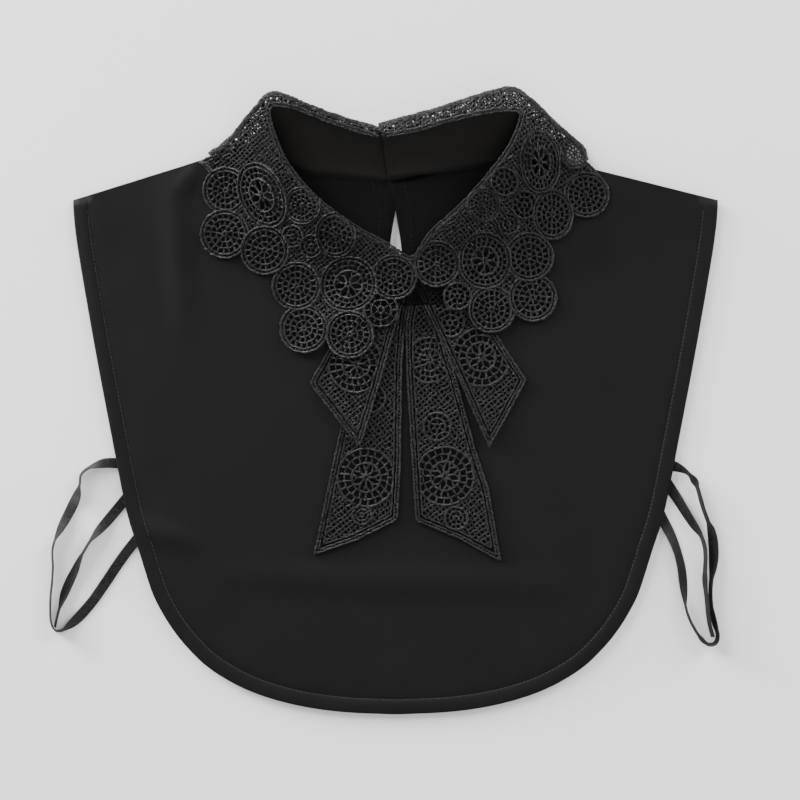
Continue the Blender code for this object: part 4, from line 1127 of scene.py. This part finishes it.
def make_studio():
    make_light("window_light", (-2.6, 2.6, 1.6), 2.2, WINDOW_POWER)
    make_light("far_window_light", (2.6, 2.4, 1.6), 2.0, FAR_WINDOW_POWER)
    make_light("low_window_light", (-1.3, 0.85, 0.16), 0.5, LOW_WINDOW_POWER)
    make_light("low_far_light", (1.3, 0.85, 0.16), 0.5, LOW_FAR_POWER)
    make_light("overhead_fill", (0.5, -0.6, 2.2), 2.4, FILL_POWER)
    world = bpy.data.worlds.new("pale_room")
    bpy.context.scene.world = world
    world.use_nodes = True
    world.node_tree.nodes["Background"].inputs["Color"].default_value = (0.95, 0.97, 1.0, 1.0)
    world.node_tree.nodes["Background"].inputs["Strength"].default_value = ROOM_LIGHT
    bm = bmesh.new()
    corners = [(-FLOOR_HALF, -FLOOR_HALF), (FLOOR_HALF, -FLOOR_HALF), (FLOOR_HALF, FLOOR_HALF), (-FLOOR_HALF, FLOOR_HALF)]
    bm.faces.new([bm.verts.new((x, y, -FLOOR_GAP)) for x, y in corners])
    to_object("pale_floor", bm, FLOOR)


# Elastics

def elastic_path(route):
    """Points (x, y, roll) along an elastic, a short step apart."""
    return even(through([(s.x, s.y, s.roll) for s in route], CURVE_STEPS), STRAP_STEP)


def tucked(end, beside):
    """The point further on, under the hem, to which an elastic's end runs."""
    run = (end - beside).xy.normalized() * ELASTIC_TUCK
    return Vector((end.x + run.x, end.y + run.y, end.z))


def make_elastic(name, route, far_tucked):
    """A flat braided elastic with rounded edges, swept along its route and twisted by its roll."""
    path = elastic_path(route)
    path.insert(0, tucked(path[0], path[1]))
    if far_tucked:
        path.append(tucked(path[-1], path[-2]))
    half = ELASTIC_WIDTH / 2
    thick = ELASTIC_WALL / 2
    section = []
    for k in range(ELASTIC_RIBS * 2 + 1):
        across = -1.0 + k / ELASTIC_RIBS
        rib = ELASTIC_RIB * (k % 2)
        edge = math.sqrt(max(0.0, 1.0 - abs(across) ** 6))
        section.append((across, (thick - ELASTIC_RIB + rib) * max(0.35, edge)))
    loop = section + [(a, -b) for a, b in reversed(section)]
    bm = bmesh.new()
    along_layer = bm.verts.layers.float.new("along")
    around_layer = bm.verts.layers.float.new("around")
    rings = []
    centres = []
    far = 0.0
    for k, point in enumerate(path):
        before = path[max(0, k - 1)]
        after = path[min(len(path) - 1, k + 1)]
        run = (after.xy - before.xy).normalized()
        sideways = Vector((-run.y, run.x, 0.0))
        roll = math.radians(min(point.z, STEEPEST_ROLL))
        wide = sideways * math.cos(roll) + Vector((0.0, 0.0, 1.0)) * math.sin(roll)
        deep = Vector((0.0, 0.0, 1.0)) * math.cos(roll) - sideways * math.sin(roll)
        reach = abs(wide.z) * half + abs(deep.z) * thick
        centre = Vector((point.x, point.y, reach + STRAP_FLOAT))
        if centres:
            far += (centre - centres[-1]).length
        centres.append(centre)
        ring = []
        for across, up in loop:
            vert = bm.verts.new(centre + wide * (across * half) + deep * up)
            vert[along_layer] = far * MM
            vert[around_layer] = across
            ring.append(vert)
        rings.append(ring)
    count = len(loop)
    for one, two in zip(rings, rings[1:]):
        for k in range(count):
            bm.faces.new((one[k], one[(k + 1) % count], two[(k + 1) % count], two[k]))
    bm.faces.new(rings[0][::-1])
    bm.faces.new(rings[-1])
    bmesh.ops.recalc_face_normals(bm, faces=bm.faces)
    strap = to_object(name + "_braid", bm, BRAID)
    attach(strap, "root")
    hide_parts(name)
    centres = [c * MM for c in centres]


# Panels

def side_path(inset, pitch):
    """The panel's edge from the right shoulder corner, round the hem, to the left one."""
    right = through([(e.half_width, e.y) for e in SIDE_EDGE], 3)
    left = [Vector((-p.x, p.y)) for p in reversed(right[:-1])]
    return offset_path(even(right + left, pitch), -inset)


def panel_outline(neck, inset):
    """A panel's whole outline, from its neckline (left corner to right) round the hem."""
    side = flat(side_path(inset, EDGE_PITCH))
    right = even([neck[-1], side[0]], EDGE_PITCH)[1:-1]
    left = even([side[-1], neck[0]], EDGE_PITCH)[1:-1]
    return neck + flat(right) + side + flat(left)


def drape(x, y):
    """Soft unevenness of the cloth, level under the lace."""
    gap = min(TOP_LINE.gap(x, y), math.hypot(max(0.0, abs(x - ROOT_X) - 62.0), max(0.0, -95.0 - y)))
    free = smooth((gap - DRAPE_CLEAR) / DRAPE_CLEAR_FALL)
    broad = noise.noise(Vector((x / DRAPE_ACROSS, y / DRAPE_ALONG, 1.7)))
    small = noise.noise(Vector((x / DRAPE_ACROSS * 2.7, y / DRAPE_ALONG * 2.7, 6.1)))
    return DRAPE * free * (broad + 0.4 * small)


def hem_form(inset, along):
    """How a stitched hem stands above its panel: its rounded edge, its turning and its stitch line."""
    form = HEM_RAISE * (1.0 - smooth((inset - HEM_WIDTH + 0.6) / 1.4))
    form -= HEM_GROOVE * bell(inset - HEM_WIDTH, HEM_GROOVE_WIDTH)
    form += PUCKER * bell(inset - HEM_WIDTH, PUCKER_REACH) * math.sin(2 * math.pi * along / PUCKER_PITCH)
    if inset < EDGE_ROUND:
        share = 1.0 - inset / EDGE_ROUND
        form -= EDGE_DROP * (1.0 - math.sqrt(max(0.0, 1.0 - share * share)))
    return form


def make_panel(name, neck, inset, pitch, height, free, finish):
    """A hemmed panel; its free share of drape is 1 on the front and 0 on the back."""
    outline = panel_outline(neck, inset)
    edge = side_path(inset, EDGE_PITCH)
    edge_line = Line(with_length(edge))
    rows = []
    for row in HEM_ROWS:
        rows += flat(offset_path(edge, -row)[1:-1])
    shoulders = [[Vector(neck[-1]), edge[0].xy], [edge[-1].xy, Vector(neck[0])]]
    for row in SHOULDER_ROWS:
        for shoulder in shoulders:
            rows += [p for p in flat(offset_path(even(shoulder, EDGE_PITCH), -row)[1:-1])
                     if edge_line.gap(*p) > HEM_ROWS[-1] + 1.0]
    around = outline_of(outline)
    shoulder_lines = [Line(with_length(even(shoulder, EDGE_PITCH))) for shoulder in shoulders]
    rows = [p for p in rows if around.holds(*p) and around.gap(*p) > 0.2]
    inner = [p for p in grid(outline, pitch) if edge_line.gap(*p) > HEM_ROWS[-1] + pitch * KEEP_OFF
             and min(s.gap(*p) for s in shoulder_lines) > SHOULDER_ROWS[-1] + pitch * KEEP_OFF]
    points, tris = triangles(outline, rows + inner)
    bm = bmesh.new()
    verts = []
    for x, y in points:
        gap, spot = edge_line.nearest(x, y)
        z = height(x, y) + free * drape(x, y) * smooth(gap / HEM_WIDTH) + hem_form(gap, spot[2])
        verts.append(bm.verts.new((x, y, z)))
    for tri in tris:
        bm.faces.new([verts[k] for k in tri])
    loose = [v for v in verts if not v.link_faces]
    bmesh.ops.delete(bm, geom=loose, context="VERTS")
    return cloth(name, bm, CLOTH_WALL, finish)


def keyhole_side(side):
    """One edge of the slit and keyhole, from the neckline down to the bottom."""
    edge = [(SLIT_TOP_X + side * SLIT_HALF, SLIT_TOP_Y), (side * SLIT_HALF, KEYHOLE_TOP)]
    length = KEYHOLE_TOP - KEYHOLE_BOTTOM - KEYHOLE_HALF
    for k in range(1, KEYHOLE_STEPS + 1):
        share = math.sin(math.pi / 2 * k / KEYHOLE_STEPS)
        edge.append((side * (SLIT_HALF + (KEYHOLE_HALF - SLIT_HALF) * share),
                     KEYHOLE_TOP - length * k / KEYHOLE_STEPS))
    for k in range(1, KEYHOLE_END_STEPS):
        turn = math.pi / 2 * k / KEYHOLE_END_STEPS
        edge.append((side * KEYHOLE_HALF * math.cos(turn),
                     KEYHOLE_BOTTOM + KEYHOLE_HALF * (1 - math.sin(turn))))
    return edge


def hem_stitches(height, free):
    """The sewing line along a hem, in space."""
    edge = side_path(0.0, 1.0)
    line = offset_path(edge, -HEM_WIDTH)[8:-8]
    base = Line(with_length(edge))
    points = []
    for point in even([Vector((p.x, p.y)) for p in line], 2.0):
        gap, spot = base.nearest(point.x, point.y)
        z = height(point.x, point.y) + free * drape(point.x, point.y) * smooth(gap / HEM_WIDTH)
        points.append((point.x, point.y, z + hem_form(gap, spot[2]) + CLOTH_WALL / 2 + STITCH_THREAD * 0.5))
    return (points, STITCH_THREAD, False)


def sewn(name, lines, thread, sizes):
    """Stitches along sewing lines."""
    obj = grown(name, lines, STITCHING, sizes, thread)
    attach(obj, "root")
    return obj


def make_front_panel():
    neck = offset_path(STAND_BOTTOM[RIGHT_SHOULDER_AT:LEFT_SHOULDER_AT + 1], SEAM_GAP)[2:-2]
    points = [LEFT_NECK_CORNER] + flat(reversed(neck)) + [RIGHT_NECK_CORNER]
    panel = make_panel("front_bib", points, 0.0, FRONT_PITCH, front_height, 1.0, SATIN)
    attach(panel, "root")
    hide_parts("front_panel")
    stitches = sewn("front_hem_stitches", [hem_stitches(front_height, 1.0)], HEM_THREAD_PAINTED_HIGHLIGHT, CLOSE_STITCHES)


def make_back_panel():
    lapped = STAND_BOTTOM[BACK_AT:-1] + STAND_BOTTOM[LAP_ROWS * STAND_STEPS:RIGHT_SHOULDER_AT + 1]
    right_neck = offset_path(lapped, -SEAM_GAP)
    left_neck = offset_path(STAND_BOTTOM[LEFT_SHOULDER_AT:BACK_AT + 1], -SEAM_GAP)
    right = [(p.x, p.y) for p in right_neck[:-1] if p.x > NECK_RIGHT_FROM] + [RIGHT_NECK_CORNER]
    left = [LEFT_NECK_CORNER] + [(p.x, p.y) for p in left_neck[1:] if p.x < NECK_LEFT_TO]
    slit = keyhole_side(-1) + [(0.0, KEYHOLE_BOTTOM)] + keyhole_side(1)[::-1]
    panel = make_panel("back_bib", left + slit + right, BACK_INSET, BACK_PITCH, back_height, 0.0, BACK_CLOTH_PAINTED_SHADE)
    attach(panel, "root")
    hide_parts("back_panel")
    facings = []
    for side in (-1, 1):
        line = [(SLIT_TOP_X + side * FACING_WIDTH, SLIT_TOP_Y - 1.0), (side * FACING_WIDTH, KEYHOLE_TOP),
                (side * (FACING_WIDTH + 1.0), KEYHOLE_BOTTOM)]
        points = [(p.x, p.y, back_height(p.x, p.y) + CLOTH_WALL / 2 + STITCH_THREAD * 0.5)
                  for p in even(line, 2.0)]
        facings.append((points, STITCH_THREAD, False))
    stitches = sewn("keyhole_stitches", facings, SEWING, {})


# Neck stand

def stand_foot(index, x, y):
    """The height of the stand's foot: on the front neckline, on the back one, or between."""
    span = STAND_STEPS
    to_front = min(smooth((index - RIGHT_SHOULDER_AT + span) / (2 * span)),
                   smooth((LEFT_SHOULDER_AT + span - index) / (2 * span)))
    return back_height(x, y) + PANEL_STEP * to_front


def stand_point(index, share):
    """A point of the stand at a share of its height."""
    bottom = STAND_BOTTOM[index]
    top = STAND_TOP[index]
    foot = stand_foot(index, bottom.x, bottom.y)
    plan = bottom.xy.lerp(top.xy, share)
    rise = (top.z - foot) * share ** STAND_CURVE
    soft = STAND_SOFT * math.sin(math.pi * share) * noise.noise(Vector((index * 0.31, share * 1.4, 3.3)))
    return Vector((plan.x, plan.y, foot + rise + LAP_RAISE * bottom[3] + soft))


def on_stand(index, share, up):
    """A point just off the stand's inner side."""
    low = stand_point(index, max(0.0, share - 0.05))
    high = stand_point(index, min(1.0, share + 0.05))
    climb = (high - low).normalized()
    beside = stand_point(min(index + 1, len(STAND_BOTTOM) - 1), share) - stand_point(max(index - 1, 0), share)
    side = beside.cross(climb).normalized()
    if side.z < 0:
        side = -side
    return stand_point(index, share) + side * up


def make_neck_stand():
    bm = bmesh.new()
    rows = []
    for index in range(len(STAND_BOTTOM)):
        rows.append([bm.verts.new(stand_point(index, k / STAND_ROWS)) for k in range(STAND_ROWS + 1)])
    for one, two in zip(rows, rows[1:]):
        for k in range(STAND_ROWS):
            bm.faces.new((one[k], two[k], two[k + 1], one[k + 1]))
    stand = cloth("stand_band", bm, CLOTH_WALL, STAND_CLOTH_PAINTED_LIGHT)
    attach(stand, "root")
    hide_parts("neck_stand")
    up = CLOTH_WALL / 2 + STITCH_THREAD * 0.5
    right_end = BACK_STRETCH_ROWS * STAND_STEPS
    left_start = (len(STAND) - BACK_STRETCH_ROWS - 2) * STAND_STEPS
    lines = [
        [on_stand(k, STAND_STITCH_SHARE, up) for k in range(1, right_end)],
        [on_stand(k, STAND_STITCH_SHARE, up) for k in range(left_start, BACK_AT - 1)],
        [on_stand(LAP_STITCH_AT, k / STAND_ROWS, up) for k in range(1, STAND_ROWS)],
    ]
    for x, y, half in BUTTON_STITCHES:
        at = min(range(right_end), key=lambda k: abs(stand_point(k, 0.6).x - x))
        share = (y - STAND_BOTTOM[at].y) / (STAND_TOP[at].y - STAND_BOTTOM[at].y)
        middle = on_stand(at, share, up)
        for turn in (math.pi / 4, -math.pi / 4):
            arm = Vector((math.cos(turn), math.sin(turn), 0.0)) * half
            lines.append([middle - arm, middle + arm])
    stitches = sewn("stand_stitches", [(line, STITCH_THREAD, False) for line in lines], SEWING, {})
    foot = []
    stretches = ((1, RIGHT_SHOULDER_AT, -1), (RIGHT_SHOULDER_AT, LEFT_SHOULDER_AT, 1), (LEFT_SHOULDER_AT, len(STAND_BOTTOM) - 1, -1))
    for first, last, side in stretches:
        inner = offset_path(STAND_BOTTOM[first:last + 1], side * SEAM_ROLL_OFFSET)
        foot.append(([(p.x, p.y, stand_foot(k, p.x, p.y) + SEAM_ROLL_UP) for k, p in
                      zip(range(first, last + 1), inner)], SEAM_ROLL, False))
    seam = grown("neck_seam_roll", foot, CORDING, {"Unevenness": 0.0, "Thinnest": 1.0, "Thickest": 1.0}, SEAM)
    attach(seam, "root")


# Lace

def medallion_spot(m, share, angle):
    """A point of a medallion at a share of its size, in its own turned axes."""
    turn = math.radians(m.turn)
    u = m.half_x * share * math.cos(angle)
    v = m.half_y * share * math.sin(angle)
    return (m.x + u * math.cos(turn) - v * math.sin(turn), m.y + u * math.sin(turn) + v * math.cos(turn))


def medallion_share(m, x, y):
    """Where a place lies in a medallion: 0 at its middle and 1 on its outer ring."""
    turn = math.radians(-m.turn)
    u = (x - m.x) * math.cos(turn) - (y - m.y) * math.sin(turn)
    v = (x - m.x) * math.sin(turn) + (y - m.y) * math.cos(turn)
    return math.hypot(u / m.half_x, v / m.half_y)


def medallion_threads(m):
    """The rings, spokes and forked arms of one medallion."""
    mean = (m.half_x + m.half_y) / 2
    threads = []
    for ring in m.pattern.rings:
        count = max(10, round(2 * math.pi * mean * ring.share / THREAD_STEP))
        path = [medallion_spot(m, ring.share, 2 * math.pi * k / count) for k in range(count)]
        threads.append(Thread(path, ring.thread, RING_UP, True))
    for row in m.pattern.rows:
        for k in range(row.count):
            angle = 2 * math.pi * (k + row.shift) / row.count
            path = [medallion_spot(m, row.outer, angle), medallion_spot(m, (row.outer + row.inner) / 2, angle),
                    medallion_spot(m, row.inner, angle)]
            threads.append(Thread(path, row.thread, 0.0, False))
    for k in range(m.pattern.arms):
        angle = 2 * math.pi * k / m.pattern.arms
        fork = m.pattern.arm_ring * ARM_FORK
        threads.append(Thread([medallion_spot(m, m.pattern.arm_ring * ARM_START, angle), medallion_spot(m, fork, angle)],
                              ARM_THREAD, RING_UP, False))
        for turn in (-ARM_SPREAD, ARM_SPREAD):
            threads.append(Thread([medallion_spot(m, fork, angle),
                                   medallion_spot(m, m.pattern.arm_ring, angle + turn)],
                                  ARM_THREAD * 0.8, RING_UP, False))
    return threads


def clipped(thread, keep):
    """The stretches of a thread that lie where they should."""
    path = thread.path + thread.path[:1] if thread.closed else thread.path
    if all(keep(*p) for p in path):
        return [thread]
    runs = []
    run = []
    for point in flat(even(path, CLIP_STEP)):
        if keep(*point):
            run.append(point)
        elif run:
            runs.append(run)
            run = []
    if run:
        runs.append(run)
    return [Thread(flat(even(r, THREAD_STEP)), thread.thickness, thread.up, False) for r in runs if len(r) > 1]


def wobbled(x, y, turn):
    """A place on the net, moved a little as the needle does."""
    push = noise.noise_vector(Vector((x / NET_WAVE, y / NET_WAVE, turn)))
    return (x + push.x * NET_WOBBLE, y + push.y * NET_WOBBLE)


def net_threads(line, medallions, inset, turns=NET_TURNS, pitch=NET_PITCH):
    """The diagonal net between the medallions."""
    xs = line.starts[:, 0]
    ys = line.starts[:, 1]
    centre = Vector(((xs.min() + xs.max()) / 2, (ys.min() + ys.max()) / 2))
    reach = math.hypot(xs.max() - xs.min(), ys.max() - ys.min()) / 2
    count = math.ceil(reach / pitch)

    def keep(x, y):
        if any(medallion_share(m, x, y) < OVERLAP_SHARE for m in medallions):
            return False
        return line.holds(x, y) and line.gap(x, y) > inset

    threads = []
    for turn in turns:
        run = Vector((math.cos(math.radians(turn)), math.sin(math.radians(turn))))
        across = Vector((-run.y, run.x))
        for k in range(-count, count + 1):
            middle = centre + across * (k * pitch)
            whole = Thread(flat([middle - run * reach, middle + run * reach]), NET_THREAD, NET_UP, False)
            for piece in clipped(whole, keep):
                threads.append(piece._replace(path=[wobbled(x, y, turn) for x, y in piece.path]))
    return threads


def lace_threads(outline, medallions, inset=0.2, turns=NET_TURNS, pitch=NET_PITCH):
    """All the medallions, each cut away under those before it, and the net between them."""
    line = outline_of(outline)
    threads = []
    for index, medallion in enumerate(medallions):
        above = medallions[:index]

        def keep(x, y):
            if any(medallion_share(m, x, y) < OVERLAP_SHARE for m in above):
                return False
            return line.holds(x, y) or line.gap(x, y) < OUTLINE_SLACK

        for thread in medallion_threads(medallion):
            threads += clipped(thread, keep)
    return threads + net_threads(line, medallions, inset, turns, pitch)


def braid(path, gaps, cord, up):
    """Cords beside a path, tied to each other."""
    threads = [Thread(flat(offset_path(path, gap)), cord, up, False) for gap in gaps]
    for near, far in zip(gaps, gaps[1:]):
        one = even(offset_path(path, near), BORDER_TIE_PITCH)
        two = even(offset_path(path, far), BORDER_TIE_PITCH)
        for a, b in zip(one, two[1:]):
            threads.append(Thread(flat([a, b]), TIE_THREAD, 0.0, False))
    return threads


def laid(threads, height):
    """Threads as paths in space, on a surface."""
    return [([(x, y, max(height(x, y) + t.up, t.thickness * KNOT_THICK)) for x, y in t.path],
             t.thickness, t.closed) for t in threads if len(t.path) > 1]


def meeting(one, two, side):
    """Where two neighbouring scallops meet, on the outer side of the way between them."""
    run = Vector((two.x - one.x, two.y - one.y))
    apart = run.length
    along = (apart * apart + one.radius ** 2 - two.radius ** 2) / (2 * apart)
    across = math.sqrt(max(0.0, one.radius ** 2 - along ** 2))
    run.normalize()
    outward = Vector((run.y, -run.x)) * side
    point = Vector((one.x, one.y)) + run * along + outward * across
    return (point.x, point.y)


def scallop_edge(scallops, start, end, side):
    """The outer edge round a row of scallops, from a start point to an end point."""
    notches = [start] + [meeting(a, b, side) for a, b in zip(scallops, scallops[1:])] + [end]
    edge = []
    for scallop, first, last in zip(scallops, notches, notches[1:]):
        begin = math.atan2(first[1] - scallop.y, first[0] - scallop.x)
        finish = math.atan2(last[1] - scallop.y, last[0] - scallop.x)
        sweep = (finish - begin) * side % (2 * math.pi)
        count = max(2, round(sweep / SCALLOP_STEP))
        for k in range(count):
            angle = begin + side * sweep * k / count
            edge.append((scallop.x + scallop.radius * math.cos(angle),
                         scallop.y + scallop.radius * math.sin(angle)))
    edge.append(end)
    return edge


def make_leaf(name, fold, corner, front_scallops, under_scallops, medallions, openings, side):
    """One lace leaf; side is 1 for the left leaf and -1 for the right one."""
    line = offset_path(even(through(fold, 4), FOLD_PITCH), side * (FOLD_RADIUS + LACE_WALL / 2))
    inner_path = TOP_LOOP[FRONT_AT:] if side > 0 else TOP_LOOP[FRONT_AT:0:-1]
    inner_edge = offset_path(inner_path, -side * LEAF_OVERHANG)
    first = front_scallops[0]
    last = front_scallops[-1]
    rise = math.radians(LEAF_START)
    start = (first.x - side * first.radius * math.cos(rise), first.y + first.radius * math.sin(rise))
    toward = (inner_edge[0].xy - Vector((last.x, last.y))).normalized()
    end = (last.x + toward.x * last.radius, last.y + toward.y * last.radius)
    front = flat(inner_edge[1:]) + flat(line) + [corner] + scallop_edge(front_scallops, start, end, side)
    threads = lace_threads(front, medallions)
    threads += braid(even(inner_edge, THREAD_STEP), (side * 0.5, -side * 1.4), INNER_CORD, BORDER_UP)
    corner_path = even([flat(line)[-1], corner, start], THREAD_STEP)
    threads += braid(corner_path, (0.0, side * 1.8), BORDER_CORD, BORDER_UP)
    paths = laid(threads, leaf_height)

    first = under_scallops[0]
    last = under_scallops[-1]
    under_start = (first.x - side * first.radius, first.y + SCALLOP_START)
    under_end = (last.x + side * last.radius, last.y + SCALLOP_START)
    under = flat(line) + scallop_edge(under_scallops, under_start, under_end, side)
    low_line = Line([(p.x, p.y, leaf_height(p.x, p.y) - 2 * FOLD_RADIUS) for p in line])

    def under_height(x, y):
        gap, edge = low_line.nearest(x, y)
        return FLOOR_LACE + (max(edge[2], FLOOR_LACE) - FLOOR_LACE) * fall(gap / UNDER_FALL)

    outward = offset_path(line, -side)
    rows = []
    for k in range(FOLD_CORDS + 1):
        angle = math.pi / 2 - math.pi * k / FOLD_CORDS
        row = []
        for point, out in zip(line, outward):
            top = leaf_height(point.x, point.y)
            low = under_height(point.x, point.y)
            normal = (out - point.xy).normalized()
            push = noise.noise_vector(Vector((point.x / NET_WAVE, point.y / NET_WAVE, angle))) * FOLD_WOBBLE
            spot = point.xy + normal * ((top - low) / 2 * math.cos(angle) + push.x)
            row.append((spot.x, spot.y, (top + low) / 2 + (top - low) / 2 * math.sin(angle) + push.y))
        rows.append(row)
    for row in rows:
        paths.append((row, FOLD_CORD, False))
    for one, two in zip(rows, rows[1:]):
        for a, b in zip(one, two[1:]):
            paths.append(([a, b], TIE_THREAD, False))
        for a, b in zip(one[1:], two):
            paths.append(([a, b], TIE_THREAD, False))
    leaf = grown(name + "_guipure", paths, CORDING, {}, GUIPURE)
    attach(leaf, "root")
    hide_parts(name)

    under_medallions = [Medallion(ROSETTE, s.x, s.y, s.radius, s.radius, 0.0) for s in under_scallops]
    under_medallions += openings
    hidden = lace_threads(under, under_medallions, turns=UNDER_NET_TURNS, pitch=UNDER_NET_PITCH)
    back = grown(name + "_hidden_half", laid(hidden, under_height), CORDING, {"Thickness": UNDER_THIN},
                 UNDER_GUIPURE)
    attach(back, "root")


def under_leaf(height, layers):
    """A tail's height, with its root on the stand and a number of layers below the leaves."""
    def root_height(x, y):
        if y < ROOT_LOW_Y:
            return height(x, y)
        return max(height(x, y), leaf_height(x, y) - layers * LACE_ON_LACE)
    return root_height


def outline_area(outline):
    """The area inside an outline, in square metres."""
    pairs = zip(outline, outline[1:] + outline[:1])
    return abs(sum(a[0] * b[1] - b[0] * a[1] for a, b in pairs)) / 2 * MM * MM


def make_tail(name, corners, medallions, height, layers):
    """A lace tail with straight edges and a corded border."""
    outline = anticlockwise(corners)
    inner = outline_of(outline)
    threads = []
    edges = [(a, b) for a, b in zip(outline, outline[1:] + outline[:1])]
    for inset, thickness in TAIL_BORDER:
        loop = []
        for k, (a, b) in enumerate(edges):
            before = edges[k - 1]
            loop.append(corner_inset(before[0], a, b, inset))
        closed_loop = flat(even(loop + loop[:1], THREAD_STEP))
        keep = (lambda gap: lambda x, y: inner.holds(x, y) and inner.gap(x, y) > gap)(inset - 0.35)
        threads += clipped(Thread(closed_loop, thickness, BORDER_UP, False), keep)
    ring = [corner_inset(edges[k - 1][0], a, b, TAIL_BORDER[0][0]) for k, (a, b) in enumerate(edges)]
    outer = even(ring + ring[:1], BORDER_TIE_PITCH)
    for point, after in zip(outer, outer[1:]):
        run = (after - point).normalized()
        foot = point + Vector((-run.y, run.x)) * (TAIL_BORDER[1][0] - TAIL_BORDER[0][0]) + run * 0.8
        if inner.holds(foot.x, foot.y):
            threads.append(Thread(flat([point, foot]), TIE_THREAD, 0.0, False))
    deep = TAIL_BORDER[-1][0]

    def in_border(x, y):
        return inner.holds(x, y) and inner.gap(x, y) > deep - 0.2

    for index, medallion in enumerate(medallions):
        above = medallions[:index]

        def keep_here(x, y):
            return in_border(x, y) and not any(medallion_share(m, x, y) < OVERLAP_SHARE for m in above)

        for thread in medallion_threads(medallion):
            threads += clipped(thread, keep_here)
    threads += net_threads(inner, medallions, deep, pitch=TAIL_NET_PITCH)

    # Threads from ROOT_SHADE_Y up get the darker root finish: painted shade for the shadow the leaves cast on the
    # tails' roots
    def below(x, y):
        return y < ROOT_SHADE_Y

    def above(x, y):
        return y >= ROOT_SHADE_Y

    lie = under_leaf(height, layers)
    shown = [piece for thread in threads for piece in clipped(thread, below)]
    painted_shade_threads = [piece for thread in threads for piece in clipped(thread, above)]
    tail = grown(name + "_guipure", laid(shown, lie), CORDING, {}, GUIPURE)
    root = grown(name + "_root", laid(painted_shade_threads, lie), CORDING, {}, ROOT_PAINTED_SHADE_GUIPURE)
    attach(tail, "root")
    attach(root, "root")
    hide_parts(name)
    outline_area(outline)


def corner_inset(before, corner, after, inset):
    """A corner of an outline that turns left, moved inwards by the same gap from both its sides."""
    one = (Vector(corner) - Vector(before)).normalized()
    two = (Vector(after) - Vector(corner)).normalized()
    left = Vector((-one.y, one.x)) + Vector((-two.y, two.x))
    share = max(0.35, left.length / 2)
    return Vector(corner) + left.normalized() * min(inset / share, inset * 2.4)


def finish_button():
    """The CAD's button, whose shape is right, gets its plastic."""
    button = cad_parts["back_button"]
    for index in range(len(button.material_slots)):
        button.material_slots[index].material = HORN


CORDING = cord_tree()
STITCHING = stitch_tree()

make_camera()
make_elastic("elastic_left_loop", LEFT_LOOP, True)
make_elastic("elastic_left_inner", LEFT_INNER, False)
make_elastic("elastic_right_loop", RIGHT_LOOP, True)
make_elastic("elastic_right_inner", RIGHT_INNER, False)
make_back_panel()
make_front_panel()
make_neck_stand()
make_leaf("lace_leaf_left", LEFT_FOLD, LEFT_LEAF_CORNER, LEFT_FRONT_SCALLOPS, LEFT_UNDER_SCALLOPS,
          LEFT_MEDALLIONS, [], 1)
make_leaf("lace_leaf_right", RIGHT_FOLD, RIGHT_LEAF_CORNER, RIGHT_FRONT_SCALLOPS, RIGHT_UNDER_SCALLOPS,
          RIGHT_MEDALLIONS, RIGHT_OPENINGS, -1)
make_tail("bow_tail_left_long", LONG_LEFT_TAIL, LONG_LEFT_MEDALLIONS, long_tail_height, 2)
make_tail("bow_tail_right_long", LONG_RIGHT_TAIL, LONG_RIGHT_MEDALLIONS, long_tail_height, 2)
make_tail("bow_tail_left_short", SHORT_LEFT_TAIL, SHORT_LEFT_MEDALLIONS, short_tail_height, 1)
make_tail("bow_tail_right_short", SHORT_RIGHT_TAIL, SHORT_RIGHT_MEDALLIONS, short_tail_height, 1)
finish_button()
make_studio()
